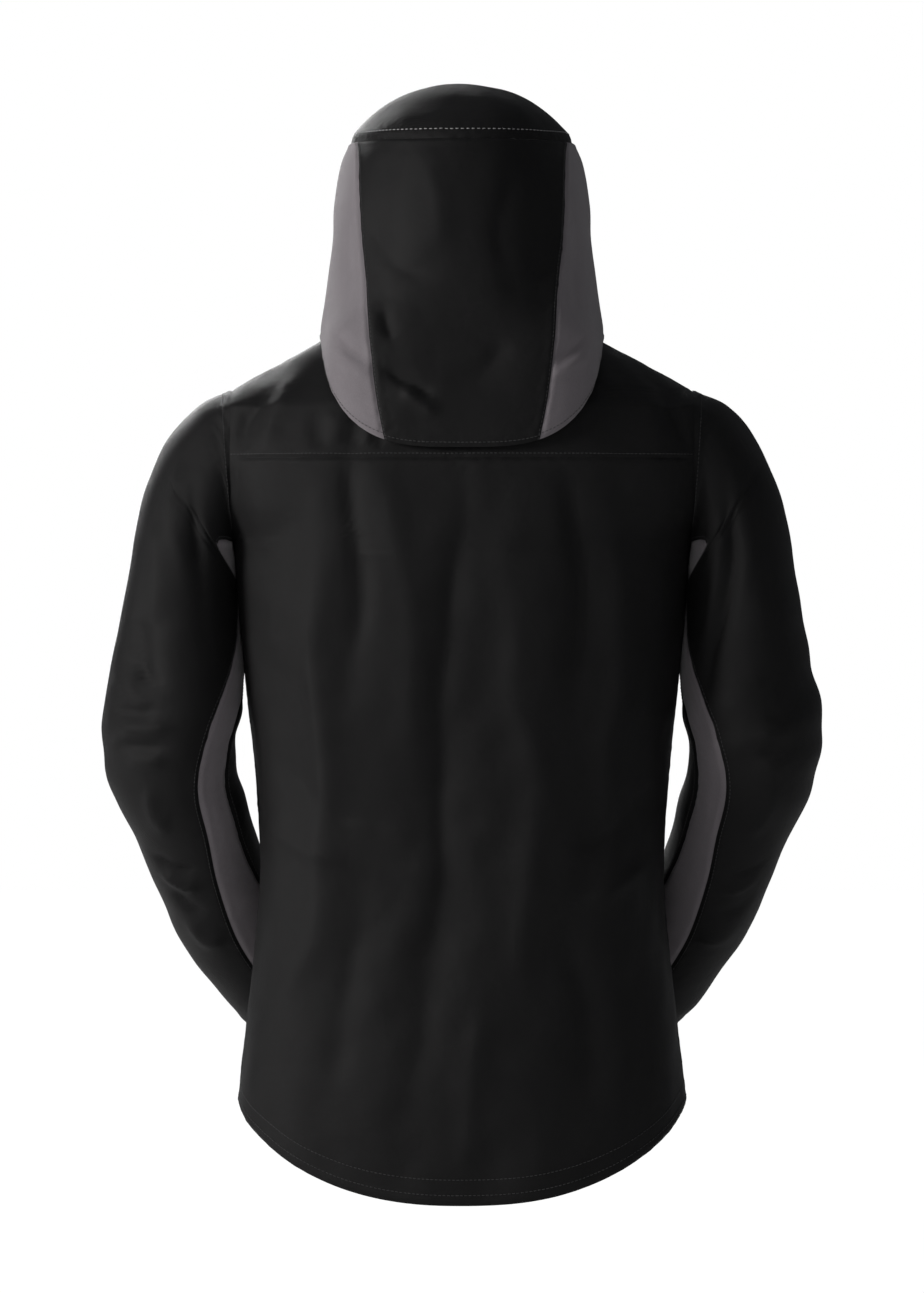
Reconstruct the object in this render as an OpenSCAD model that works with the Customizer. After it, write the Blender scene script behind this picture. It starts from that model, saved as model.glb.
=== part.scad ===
// Hardshell jacket with a fixed hood, worn-shape shell: panels, zips, cords, cord locks and cuff tabs.
// Heights are measured from the lowest point of the back hem; front faces -Y, wearer's left is +X.
// place() moves everything so that the frame's origin is the middle of the hanger loop.

/* [Body] */
// Width of the body across the armpits
chest_w = 430; // [400:1:460]
// Height of the side of the neck seam above the lowest point of the back hem
body_h = 813.5; // [780:0.5:840]
// How far the back hem drops below the side hem
back_drop = 82; // [40:1:100]
// How far the front hem drops below the side hem
front_drop = 26; // [0:1:50]
// Height of the seam between the back panel and the yoke
yoke_z = 695; // [680:1:705]

/* [Fabric] */
// Thickness of a shell panel with its lining film
shell_t = 1.6; // [1.2:0.1:2]
// Gap left at each seam so that panels stay separate solids
seam_gap = 0.6; // [0.4:0.1:1]

/* [Hood] */
// Height of the seam between the hood's back panel and its crown
crown_z = 990; // [980:1:1000]
// Rise of the crown above that seam
crown_h = 55; // [45:1:65]
// Half the angle of the face opening, seen from above
face_half_angle = 46; // [40:1:52]
// How far the peak stands out over the face
peak_len = 26; // [18:1:34]

/* [Sleeves] */
// Radius of the round cut between upper sleeve and forearm, about the elbow's axis
elbow_cut_r = 95; // [92:1:98]
// Length of a cuff band along the forearm
cuff_len = 34; // [26:1:40]

/* [Zips] */
// Width of a main zip tape
tape_w = 10; // [8:1:12]
// Length of a hand pocket zip
pocket_zip_len = 168; // [140:1:180]
// Length of the chest pocket zip
chest_zip_len = 120; // [100:1:140]

/* [Hanger loop] */
// Inside radius of the hanger loop
loop_r = 9; // [7:0.5:10]
// Width of the hanger loop's tape
loop_w = 8; // [6:1:10]

/* [Hidden] */

black = [0.06, 0.06, 0.065];
grey = [0.42, 0.41, 0.44];
trim = [0.03, 0.03, 0.03];
metal = [0.25, 0.25, 0.27];
left = 1;
right = -1;

kw = chest_w / 430;
shoulder_s = 745;            // height where the shoulder slope starts
armhole_x = 214 * kw;        // the armholes lie in the planes x = +/- this
armhole_z = 690;             // middle of an armhole
armhole_half_h = 69;
seam_deg = 0.16;             // half a seam gap, as an angle about the body
loop_at = [0, 60, 796];      // middle of the hanger loop, above the lowest hem point
chin_z = 836;                // top edge of the closed collar

// ---- curves ----
function mix(a, b, t) = a + (b - a) * t;
function clamp01(t) = min(1, max(0, t));
function ease(t) = let (k = clamp01(t)) k * k * (3 - 2 * k);
function spow(v, e) = sign(v) * pow(abs(v), e);
function unit(v) = v / max(norm(v), 1e-9);

function segment(T, x, i = 0) = (i >= len(T) - 2 || x < T[i + 1][0]) ? i : segment(T, x, i + 1);
function slope(T, c, i) =
    let (a = max(0, i - 1), b = min(len(T) - 1, i + 1)) (T[b][c] - T[a][c]) / (T[b][0] - T[a][0]);
// Column c of table T at x, as a smooth curve through the rows; the first column rises.
function curve(T, c, x) =
    let (i = segment(T, x), h = T[i + 1][0] - T[i][0], t = clamp01((x - T[i][0]) / h),
         m0 = slope(T, c, i) * h, m1 = slope(T, c, i + 1) * h)
    (2 * t * t * t - 3 * t * t + 1) * T[i][c] + (t * t * t - 2 * t * t + t) * m0
    + (3 * t * t - 2 * t * t * t) * T[i + 1][c] + (t * t * t - t * t) * m1;

// ---- body surface ----
// Height, half width, back depth, squareness of the back, squareness of the front
BODY = [
    [-10, 207, 126, 2.4, 2.6], [97, 208, 127, 2.4, 2.6], [150, 202, 125, 2.4, 2.6], [230, 193, 122, 2.4, 2.6],
    [320, 187, 119, 2.4, 2.6], [400, 192, 122, 2.4, 2.6], [487, 201, 130, 2.4, 2.5], [546, 207, 136, 2.4, 2.4],
    [583, 210, 139, 2.4, 2.4], [620, 214, 141, 2.4, 2.3], [655, 234, 139, 2.4, 2.2], [695, 245, 134, 2.4, 2.0],
    [725, 244, 126, 2.3, 1.8], [shoulder_s, 240, 118, 2.3, 1.7],
];
neck_a = 112;
neck_back = 66;
function front_depth(s) = 134.3 - 0.018 * (s - 97);
function over(s) = clamp01((s - shoulder_s) / (body_h - shoulder_s));
function body_a(s) = kw * (s < shoulder_s ? curve(BODY, 1, s) : mix(240, neck_a, over(s)));
function body_b(s, back) =
    !back ? front_depth(s) : s < shoulder_s ? curve(BODY, 2, s) : mix(118, neck_back, over(s));
function body_n(s, back) =
    s < shoulder_s ? curve(BODY, back ? 3 : 4, s) : back ? mix(2.3, 2, over(s)) : mix(1.7, 2, over(s));
function neck_z(th) = body_h - (sin(th) > 0 ? 1.5 * sin(th) : 35.5 * pow(-sin(th), 1.5));
// A point of the body's outer surface: th is the angle about Z from the wearer's left, s its ring's height.
function body_point(th, s) =
    let (back = sin(th) >= 0, n = body_n(s, back))
    [body_a(s) * spow(cos(th), 2 / n), body_b(s, back) * spow(sin(th), 2 / n),
     s < shoulder_s ? s : mix(shoulder_s, neck_z(th), over(s))];
function hem_s(th) = 97 - (sin(th) > 0 ? back_drop : front_drop) * pow(abs(sin(th)), 1.5);
// Angle at which the body's surface meets the armhole plane, or 0 below and above the armhole.
function armhole_deg(s, back) =
    let (a = body_a(s), x = armhole_x - 0.3) a <= x ? 0 : acos(pow(x / a, body_n(s, back) / 2));
// Height of a row of a panel's grid, from a list of heights that closes up at the ends of the armhole
function row(levels, v) = lookup(v * (len(levels) - 1), [for (i = [0:len(levels) - 1]) [i, levels[i]]]);
function armhole_y(s, back) =
    let (a = body_a(s), n = body_n(s, back))
    a <= armhole_x ? 0 : (back ? 1 : -1) * body_b(s, back) * pow(1 - pow(armhole_x / a, n), 1 / n);

// ---- hood surface ----
// Height, half width, middle in y, half depth, squareness
HOOD = [
    [704, 131, 1, 139, 3.6], [750, 131.5, 1, 138.5, 4], [804, 131, 4, 129.5, 3.7], [chin_z, 127, 3, 124.5, 2.6],
    [859, 124, 2, 126, 2.3], [897, 121, -3, 127, 2.1], [934, 118, -10, 128, 2.05], [971, 112, -21, 127, 2],
    [crown_z, 104, -27.5, 122.5, 2],
];
// Height, half width of the hood's black back panel
HOOD_BORDER = [[704, 70], [750, 79], [802, 85], [843, 88], [900, 94], [955, 96], [993, 98]];
function hood_point(th, z) =
    let (n = curve(HOOD, 4, z))
    [curve(HOOD, 1, z) * spow(cos(th), 2 / n), curve(HOOD, 2, z) + curve(HOOD, 3, z) * spow(sin(th), 2 / n), z];
// Height of the hood's lower edge at the sides; it drops from there to the back and rises to the chin.
hood_side_low = 812;
hood_drop = 108;
function hood_low(th) =
    sin(th) > 0 ? hood_side_low - hood_drop * pow(sin(th), 1.2)
                : mix(hood_side_low, chin_z + 2, ease(-sin(th) / 0.45));
function border_deg(z) = acos(pow(curve(HOOD_BORDER, 1, z) / curve(HOOD, 1, z), curve(HOOD, 4, z) / 2));
face_z = (chin_z + crown_z - 2) / 2;
face_half_h = (crown_z - 2 - chin_z) / 2;
function face_deg(z) = face_half_angle * pow(max(0, 1 - pow(abs((z - face_z) / face_half_h), 6)), 1 / 6);
// The crown is a dome over a square grid, x and y from -1 to 1, that ends on the ring at crown_z.
function crown_point(x, y) =
    let (u = x * sqrt(1 - y * y / 2), v = y * sqrt(1 - x * x / 2), r2 = min(1, u * u + v * v))
    [104 * u, mix(-22, -27.5, sqrt(r2)) + 122.5 * v, crown_z + crown_h * pow(1 - r2, 0.75)];

// ---- sleeve surface, left arm ----
// Station, inner edge x and z, outer edge x and z, middle in y, half depth, pitch of the ring
SLEEVE = [
    [0, 214.6, 621, 214.6, 759, 0, 76, 0], [1, 214, 607, 246, 745, 1, 79, 0],
    [2, 213.5, 593, 274, 712, 2, 79, 0], [3, 212.5, 573, 297, 655, 3, 77, 0],
    [4, 211.5, 545, 311, 585, 4, 75, 2], [5, 207, 505, 325, 508, 5, 72, 5],
    [6, 206, 458, 335, 452, 4, 68, 10], [7, 211, 415, 328, 398, -9, 63, 19],
    [8, 203, 382, 304, 341, -36, 57, 27],
    [9, 192, 340, 288, 300, -62, 54, 30], [10, 172, 290, 266, 250, -98, 50, 32],
    [11, 150, 247, 230, 197, -133, 46, 33], [12, 134.1, 217.6, 205.9, 168.4, -153, 43.5, 33],
];
// Station, angle of the seam between back panel and inset, and between inset and front panel
INSET = [
    [0, 118, 225], [2, 124, 212], [3, 150, 206], [4, 168, 200], [5, 159, 190], [6, 133, 158], [7, 120, 146],
    [8, 107, 134], [9, 102, 137], [10, 96, 146], [11, 88, 150], [12, 84, 150],
];
elbow = [270, 2, 447];
elbow_gap = 2.2;             // clearance on each side of the round cut
sleeve_end = 12;
function sleeve_raw(f, t) =
    let (i = [curve(SLEEVE, 1, t), 0, curve(SLEEVE, 2, t)], o = [curve(SLEEVE, 3, t), 0, curve(SLEEVE, 4, t)],
         u = (o - i) / 2, p = curve(SLEEVE, 7, t), v0 = [0, cos(p), -sin(p)],
         v = unit(v0 - unit(u) * (v0 * unit(u))))
    (i + o) / 2 + [0, curve(SLEEVE, 5, t), 0] + u * cos(f) + v * curve(SLEEVE, 6, t) * sin(f);
// The body's armhole edge, so that the sleeve head starts on it
function armhole_point(f) =
    let (s = armhole_z + armhole_half_h * cos(f)) [armhole_x + 0.6, armhole_y(s, sin(f) >= 0), s];
function sleeve_point(f, t) =
    sleeve_raw(f, t) + (t < 1 ? (armhole_point(f) - sleeve_raw(f, 0)) * pow(1 - t, 2) : [0, 0, 0]);
function elbow_r(p) = norm([p.y - elbow.y, p.z - elbow.z]);
// Station below the elbow at which the sleeve's surface is r from the elbow's axis
function elbow_cut(f, r, lo = 6, hi = 10, k = 16) =
    k == 0 ? lo
    : let (m = (lo + hi) / 2) elbow_r(sleeve_point(f, m)) < r ? elbow_cut(f, r, m, hi, k - 1)
                                                              : elbow_cut(f, r, lo, m, k - 1);

// ---- solids from surfaces ----
// A sheet of thickness t whose outer face is f(u, v), u and v from 0 to 1. turn is 1 where u x v points out.
module sheet(f, nu, nv, t = shell_t, turn = 1, lift = 0) {
    e = 0.002;
    function normal(u, v) =
        turn * unit(cross(f(min(1, u + e), v) - f(max(0, u - e), v),
                          f(u, min(1, v + e)) - f(u, max(0, v - e))));
    grid = [for (j = [0:nv]) for (i = [0:nu]) [i / nu, j / nv]];
    outer = [for (g = grid) f(g.x, g.y) + lift * normal(g.x, g.y)];
    inner = [for (g = grid) f(g.x, g.y) + (lift - t) * normal(g.x, g.y)];
    m = len(grid);
    function at(i, j, k) = k * m + j * (nu + 1) + i;
    quads = concat(
        [for (j = [0:nv - 1]) for (i = [0:nu - 1])
            [at(i, j, 0), at(i, j + 1, 0), at(i + 1, j + 1, 0), at(i + 1, j, 0)]],
        [for (j = [0:nv - 1]) for (i = [0:nu - 1])
            [at(i, j, 1), at(i + 1, j, 1), at(i + 1, j + 1, 1), at(i, j + 1, 1)]],
        [for (i = [0:nu - 1]) [at(i, 0, 0), at(i + 1, 0, 0), at(i + 1, 0, 1), at(i, 0, 1)]],
        [for (i = [0:nu - 1]) [at(i, nv, 0), at(i, nv, 1), at(i + 1, nv, 1), at(i + 1, nv, 0)]],
        [for (j = [0:nv - 1]) [at(0, j, 0), at(0, j, 1), at(0, j + 1, 1), at(0, j + 1, 0)]],
        [for (j = [0:nv - 1]) [at(nu, j, 0), at(nu, j + 1, 0), at(nu, j + 1, 1), at(nu, j, 1)]]);
    tris = [for (q = quads) each [[q[0], q[1], q[2]], [q[0], q[2], q[3]]]];
    polyhedron(concat(outer, inner), turn > 0 ? tris : [for (q = tris) [q[0], q[2], q[1]]]);
}

// A round cord of radius r through the points f(u), u from 0 to 1.
module cord(f, n, r, sides = 6) {
    e = 0.01;
    function side(u) = let (d = unit(f(min(1, u + e)) - f(max(0, u - e)))) unit(cross(d, [0.03, 0.05, 1]));
    function up(u) = let (d = unit(f(min(1, u + e)) - f(max(0, u - e)))) cross(side(u), d);
    pts = [for (i = [0:n]) for (k = [0:sides - 1])
        f(i / n) + r * (side(i / n) * cos(360 * k / sides) + up(i / n) * sin(360 * k / sides))];
    walls = [for (i = [0:n - 1]) for (k = [0:sides - 1])
        let (a = i * sides + k, b = i * sides + (k + 1) % sides)
        each [[a, a + sides, b], [b, a + sides, b + sides]]];
    ends = [[for (k = [0:sides - 1]) k], [for (k = [sides - 1:-1:0]) n * sides + k]];
    polyhedron(pts, concat(walls, ends));
}

module place() { translate(-loop_at) children(); }
module side_of(s) { place() if (s > 0) children(); else mirror([1, 0, 0]) children(); }

// ---- body panels ----
module back_panel() {
    top = [621, 623, 629, 640, 658, 676, yoke_z - seam_gap / 2];
    f = function (u, v)
        let (s = v < 0.6 ? mix(hem_s(180 * u), 621, v / 0.6) : row(top, (v - 0.6) / 0.4),
             e = armhole_deg(s, true) + seam_deg)
        body_point(mix(e, 180 - e, u), s);
    color(black) place() sheet(f, 22, 15);
}

module back_yoke() {
    levels = [yoke_z + seam_gap / 2, 714, 730, 743, 751, 756.5, 759, 786, body_h];
    f = function (u, v) let (s = row(levels, v), e = armhole_deg(s, true) + seam_deg)
        body_point(mix(e, 180 - e, u), s);
    color(black) place() sheet(f, 20, 8);
}

zip_half_gap = 6.4;  // the front panels stop this far from the middle, where the zip shows
function zip_gap_deg(s) = 90 - acos(pow(zip_half_gap / body_a(s), body_n(s, false) / 2));
module front_panel(side) {
    top = [621, 623, 629, 640, 658, 676, 695, 714, 730, 743, 751, 756.5, 759, 786, body_h - 0.4];
    f = function (u, v)
        let (s = v < 0.36 ? mix(hem_s(-90 + 90 * u), 621, v / 0.36) : row(top, (v - 0.36) / 0.64),
             e = armhole_deg(s, false) + seam_deg)
        body_point(mix(-90 + zip_gap_deg(s), -e, u), s);
    color(black) side_of(side) sheet(f, 12, 22);
}

// The collar stands on the neck seam in front, up to the chin.
collar_deg = -31;
function collar_point(th, v) = mix(body_point(th, body_h) + [0, 0, 0.5], hood_point(th, chin_z), v);
module collar(side) {
    f = function (u, v) collar_point(mix(-90 + zip_gap_deg(body_h), collar_deg, u), v);
    color(black) side_of(side) sheet(f, 8, 4);
}

// Hidden band from the neck seam, out over the yoke, to the fold that the hood hangs from.
module hood_base_band() {
    f = function (u, v) let (th = mix(24, 156, u), a = body_point(th, body_h) + [0, 1, 2],
                             b = hood_point(th, hood_low(th) + 14) - [4 * cos(th), 5, 0])
        mix(a, b, v) + 4 * v * (1 - v) * [8 * cos(th), 17 * sin(th), 9 + 7 * sin(th)];
    color(black) place() sheet(f, 20, 4, t = 1);
}

// ---- hood ----
// The back panel hangs over the yoke at its lower edge.
module hood_back_panel() {
    f = function (u, v) let (n = mix(border_deg(704), 180 - border_deg(704), u),
                             z = mix(hood_low(n), crown_z - 1.8, v), e = border_deg(z) + 2 * seam_deg)
        hood_point(mix(e, 180 - e, u), z);
    color(black) place() sheet(f, 12, 13);
}

// A side panel reaches from the face opening to the back panel; its lower edge rises to the chin.
function clamp_face(z) = min(face_z + face_half_h * 0.97, max(face_z - face_half_h * 0.97, z));
module hood_side_panel(side) {
    f = function (u, v) let (n = mix(-90 + face_deg(clamp_face(chin_z)), border_deg(704), u),
                             z = mix(hood_low(n), crown_z - 1.8, v), e = -90 + face_deg(clamp_face(z)))
        hood_point(mix(e, border_deg(z) - 2 * seam_deg, u), z);
    color(grey) side_of(side) sheet(f, 13, 12);
}

module hood_crown() {
    f = function (u, v) crown_point(2 * u - 1, 2 * v - 1);
    color(black) place() sheet(f, 12, 12);
}

module hood_peak() {
    f = function (u, v)
        let (th = mix(-90 - 44, -90 + 44, u), w = pow(cos((th + 90) * 2), 0.5))
        hood_point(th, crown_z) + [6 * v * cos(th), -peak_len * v * w - 1.6, 0.8 - 12 * v * w];
    color(black) place() sheet(f, 12, 3, t = 2, turn = -1, lift = 2);
}

module hood_drawcord() {
    lo = face_z - face_half_h * 0.8;
    hi = face_z + face_half_h * 0.8;
    f = function (u)
        let (z = mix(lo, hi, u), p = hood_point(-90 + face_deg(z) + 4, z))
        p * 0.955 + [0, 0, z * 0.045];
    color(trim) for (s = [left, right]) side_of(s) cord(f, 12, 1.4);
}

// ---- sleeves ----
inset_back = function (t) curve(INSET, 1, t);
inset_front = function (t) curve(INSET, 2, t);
ring_start = function (t) 0;
ring_end = function (t) 360;
module sleeve_sheet(side, from, to, head, n) {
    // head: true from the armhole to the elbow cut, false from there to the cuff band
    f = function (u, v)
        let (f0 = mix(from(7), to(7), u), c = elbow_cut(f0, elbow_cut_r + (head ? -elbow_gap : elbow_gap)),
             t = head ? mix(0, c, v) : mix(c, sleeve_end, v), gap = 1 + 2.6 * max(0, 1 - t))
        sleeve_point(mix(from(t) + gap, to(t) - gap, u), t);
    side_of(side) sheet(f, n, head ? 12 : 8, turn = -1);
}
module sleeve_back(side, head) { color(black) sleeve_sheet(side, ring_start, inset_back, head, 7); }
module sleeve_inset(side, head) { color(grey) sleeve_sheet(side, inset_back, inset_front, head, 4); }
module sleeve_front(side, head) { color(black) sleeve_sheet(side, inset_front, ring_end, head, 8); }

// The sleeve ends in a ring that a round band continues; the tab wraps the band's outer side.
cuff_axis = unit(cross(sleeve_raw(0, sleeve_end) - sleeve_raw(180, sleeve_end),
                       sleeve_raw(270, sleeve_end) - sleeve_raw(90, sleeve_end)));
cuff_c = (sleeve_raw(0, sleeve_end) + sleeve_raw(180, sleeve_end)) / 2 + 0.8 * cuff_axis;
cuff_r = 43.5;
cuff_spin = atan2(cuff_axis.y, cuff_axis.x);
cuff_lean = acos(cuff_axis.z);
module at_cuff(side) { side_of(side) translate(cuff_c) rotate([0, cuff_lean, cuff_spin]) children(); }
module cuff_band(side) {
    color(trim) at_cuff(side) difference() {
        cylinder(r = cuff_r, h = cuff_len, $fn = 96);
        translate([0, 0, -1]) cylinder(r = cuff_r - 2.2, h = cuff_len + 2, $fn = 96);
    }
}
tab_w = 24;
tab_from = 92;   // angle of the tab's sewn end about the cuff's axis
tab_sweep = 96;
module cuff_tab(side) {
    color(trim) at_cuff(side) translate([0, 0, (cuff_len - tab_w) / 2]) rotate([0, 0, tab_from])
        rotate_extrude(angle = tab_sweep, $fn = 96) translate([cuff_r + 0.6, 0]) square([2, tab_w]);
}

// ---- hem, neck and inside ----
module hem_facing() {
    f = function (u, v) let (th = mix(-90 + 5, 270 - 5, u), s = hem_s(th) + mix(1, 30, v)) body_point(th, s);
    color(trim) place() sheet(f, 48, 1, t = 0.9, lift = -7.2);
}

function hem_inside(th, up, in_by) =
    let (p = body_point(th, hem_s(th) + up), q = [p.x, p.y, 0] * (1 - in_by / norm([p.x, p.y])))
    [q.x, q.y, p.z];
module hem_drawcord() {
    color(trim) place() cord(function (u) hem_inside(mix(-90 + 42, 270 - 42, u), 14, 4.8), 48, 1.4);
}

module hanger_loop() {
    color(trim) union() {
        translate([-loop_w / 2, 0, 0]) rotate([0, 90, 0]) difference() {
            cylinder(r = loop_r + 1.2, h = loop_w, $fn = 64);
            translate([0, 0, -1]) cylinder(r = loop_r, h = loop_w + 2, $fn = 64);
        }
        translate([-loop_w / 2, -0.6, loop_r + 0.4]) cube([loop_w, 1.2, 5]);
    }
}

module neck_label() {
    color(grey) place() translate([-22, 0, 0]) multmatrix(back_slope(752)) cube([44, 0.8, 24]);
}
// Frame on the inside of the yoke at height z: x across, z up the slope, y outwards
function back_slope(z) =
    let (p = body_point(90, z), w = unit(body_point(90, z + 20) - p), y = [0, w.z, -w.y], at = p - 3.4 * y)
    [[1, 0, 0, 0], [0, y.y, w.y, at.y], [0, y.z, w.z, at.z], [0, 0, 0, 1]];

// ---- zips ----
coil_w = 2.4;
coil_t = 2.4;
slider_l = 13;
slider_w = 9;
slider_gap = 0.35;
plate_t = 1.1;
bail_r = 0.8;
bail_y = -(coil_t / 2 + slider_gap + plate_t + 1.7);
// Two tapes with their coils along +Z from 0 to len; -Y is the outside
module zip_tapes(len, w) {
    for (s = [-1, 1]) translate([s > 0 ? 2.9 : -2.9 - w, -0.4, 0]) cube([w, 0.8, len]);
}
module zip_coils(len) {
    for (s = [-1, 1]) translate([s > 0 ? 0.4 : -0.4 - coil_w, -coil_t / 2, 0]) cube([coil_w, coil_t, len]);
}
// A slider whose two plates are joined by a thin bridge between the coils; the bail holds the puller.
module zip_slider() {
    y = coil_t / 2 + slider_gap;
    union() {
        for (at = [-y - plate_t, y]) translate([-slider_w / 2, at, 0]) cube([slider_w, plate_t, slider_l]);
        translate([-0.25, -y - 0.1, slider_l - 3]) cube([0.5, 2 * y + 0.2, 3]);
        for (x = [-3, 1.8]) translate([x, bail_y - 1.2, slider_l / 2 - 1.2]) cube([1.2, 1.7 + 1.3, 2.4]);
        translate([-3, bail_y, slider_l / 2]) rotate([0, 90, 0]) cylinder(r = bail_r, h = 6, $fn = 24);
    }
}
// The puller turns on the bail's bar, which lies on the X axis here, and hangs down -Z.
module zip_puller(len) {
    difference() {
        union() {
            translate([-1.5, 0, 0]) rotate([0, 90, 0]) cylinder(r = 1.6, h = 3, $fn = 32);
            translate([-1.5, -0.7, -7]) cube([3, 1.4, 7]);
            translate([-4, -1, -len]) cube([8, 2, len - 6]);
        }
        translate([-2, 0, 0]) rotate([0, 90, 0]) cylinder(r = bail_r + 0.08, h = 4, $fn = 32);
    }
}

// Main zip: a straight line up the front, this far inside the outer surface
zip_inset = 4.1;
zip_low = [0, -front_depth(72) + zip_inset, 72];
zip_high = [0, -front_depth(832) + zip_inset, 832];
zip_len = norm(zip_high - zip_low);
zip_lean = atan2(zip_high.y - zip_low.y, zip_high.z - zip_low.z);
module at_main_zip(z = 0) {
    place() translate(zip_low) rotate([-zip_lean, 0, 0]) translate([0, 0, z]) children();
}
slider_rest = zip_len - slider_l - 3;
module main_zip_tapes() { color(trim) at_main_zip(12.4) zip_tapes(zip_len - 15.4, tape_w); }
module main_zip_coils() { color(trim) at_main_zip(14) zip_coils(zip_len - 14 - 3); }
module main_zip_end_stops() {
    color(metal) at_main_zip() {
        for (x = [-3, 0.2]) translate([x, -1.6, zip_len - 2.4]) cube([2.8, 3.2, 2.4]);
        translate([-4, -1.9, 0]) cube([3.5, 3.8, 12]);
        translate([0.5, -1.9, 0]) cube([3.5, 3.8, 12]);
    }
}
module main_zip_slider() { color(metal) at_main_zip(slider_rest) zip_slider(); }
module main_zip_puller() {
    color(metal) at_main_zip(slider_rest) translate([0, bail_y, slider_l / 2]) zip_puller(34);
}
module storm_flap() { color(black) at_main_zip(10) translate([-26, 4.6, 0]) cube([44, 1.2, zip_len - 70]); }
module chin_guard() { color(grey) at_main_zip(zip_len - 58) translate([-20, 4.6, 0]) cube([40, 1.6, 56]); }

// Small zips lie on a straight chord of the front panel: x and z of its two ends, on the left side.
function front_y(x, z) =
    let (n = body_n(z, false)) -front_depth(z) * pow(1 - pow(abs(x) / body_a(z), n), 1 / n);
zip_proud = 3.4;     // the small zips stand this far out from the chord
function chord(x0, z0, x1, len) =
    let (z1 = z0 + sqrt(len * len - (x1 - x0) * (x1 - x0)),
         a = [x0, front_y(x0, z0), z0], b = [x1, front_y(x1, z1), z1], m = (a + b) / 2, w = unit(b - a),
         across = unit([4, front_y(m.x + 2, m.z) - front_y(m.x - 2, m.z), 0]),
         x = unit(across - w * (across * w)), y = cross(w, x),
         bulge = max(0, (m - [m.x, front_y(m.x, m.z), m.z]) * y), at = a - y * (zip_proud + bulge))
    [[x.x, y.x, w.x, at.x], [x.y, y.y, w.y, at.y], [x.z, y.z, w.z, at.z], [0, 0, 0, 1]];
pocket_frame = chord(136, 176, 104, pocket_zip_len);
chest_frame = chord(96, 512, 90, chest_zip_len);
module at_pocket(side, z = 0) { side_of(side) multmatrix(pocket_frame) translate([0, 0, z]) children(); }
module at_chest(z = 0) { side_of(left) multmatrix(chest_frame) translate([0, 0, z]) children(); }
pocket_rest = pocket_zip_len - slider_l - 2;
chest_rest = chest_zip_len - slider_l - 2;
module small_zip(len) { zip_tapes(len, 5); translate([0, 0, 0.1]) zip_coils(len - 0.2); }
module pocket_zip(side) { color(trim) at_pocket(side) small_zip(pocket_zip_len); }
module pocket_slider(side) { color(metal) at_pocket(side, pocket_rest) zip_slider(); }
module pocket_puller(side) {
    color(trim) at_pocket(side, pocket_rest) translate([0, bail_y, slider_l / 2]) zip_puller(30);
}
module chest_zip() { color(trim) at_chest() small_zip(chest_zip_len); }
module chest_slider() { color(metal) at_chest(chest_rest) zip_slider(); }
module chest_puller() {
    color(trim) at_chest(chest_rest) translate([0, bail_y, slider_l / 2]) zip_puller(30);
}

module pocket_bags() {
    hand = function (u, v) body_point(mix(-72, -28, u), mix(135, 350, v));
    chest = function (u, v) body_point(mix(-70, -46, u), mix(505, 640, v));
    color(black) {
        for (s = [left, right]) side_of(s) sheet(hand, 6, 6, t = 1.6, lift = -8.4);
        side_of(left) sheet(chest, 5, 5, t = 1.6, lift = -3.4);
    }
}

// ---- cord locks ----
lock_r = 5.5;
lock_l = 15;
plunger_r = 3.2;
plunger_travel = 3.5;
// Barrel along Z with a blind bore for the plunger and a cross hole for the cord
module lock_body() {
    cord_z = lock_l * 0.62;
    difference() {
        cylinder(r = lock_r, h = lock_l, $fn = 40);
        translate([0, 0, 3]) cylinder(r = plunger_r + 0.08, h = lock_l, $fn = 40);
        translate([-lock_r - 1, 0, cord_z]) rotate([0, 90, 0]) cylinder(r = 1.9, h = 2 * lock_r + 2, $fn = 24);
    }
}
module lock_plunger() {
    difference() {
        translate([0, 0, 3.2 + plunger_travel]) cylinder(r = plunger_r, h = lock_l - 3.2, $fn = 40);
        translate([-lock_r - 1, -1.9, lock_l * 0.62 - 1.9 - plunger_travel])
            cube([2 * lock_r + 2, 3.8, 3.8 + 2 * plunger_travel]);
    }
}
hem_lock_th = -90 + 38;
hem_lock_at = hem_inside(hem_lock_th, 24, 17);
face_lock_at = collar_point(-90 + 38, 0.75) + [3.8, -6.6, 0];
module at_hem_lock(side) { side_of(side) translate(hem_lock_at) rotate([180, 0, 0]) children(); }
module at_hood_lock(side) { side_of(side) translate(face_lock_at) rotate([180, 0, 0]) children(); }
module hem_cord_locks() { color(trim) for (s = [left, right]) at_hem_lock(s) lock_body(); }
module hood_cord_locks() { color(trim) for (s = [left, right]) at_hood_lock(s) lock_body(); }
module hem_plunger(side) { color(metal) at_hem_lock(side) lock_plunger(); }
module hood_plunger(side) { color(metal) at_hood_lock(side) lock_plunger(); }

back_panel();
back_yoke();
front_panel(left);  // left_front_panel
front_panel(right);  // right_front_panel
collar(left);  // left_collar
collar(right);  // right_collar
hood_base_band();
hem_facing();
hem_drawcord();
hem_cord_locks();
hem_plunger(left);  // hem_left_plunger
hem_plunger(right);  // hem_right_plunger
main_zip_tapes();
main_zip_coils();
main_zip_end_stops();
main_zip_slider();
main_zip_puller();
storm_flap();
chin_guard();
hanger_loop();
neck_label();
pocket_bags();
pocket_zip(left);  // left_pocket_zip
pocket_slider(left);  // left_pocket_slider
pocket_puller(left);  // left_pocket_puller
pocket_zip(right);  // right_pocket_zip
pocket_slider(right);  // right_pocket_slider
pocket_puller(right);  // right_pocket_puller
chest_zip();  // chest_pocket_zip
chest_slider();  // chest_pocket_slider
chest_puller();  // chest_pocket_puller
hood_back_panel();
hood_side_panel(left);  // hood_left_panel
hood_side_panel(right);  // hood_right_panel
hood_crown();
hood_peak();
hood_drawcord();
hood_cord_locks();
hood_plunger(left);  // hood_left_plunger
hood_plunger(right);  // hood_right_plunger
sleeve_back(left, true);  // left_sleeve_back
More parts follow.
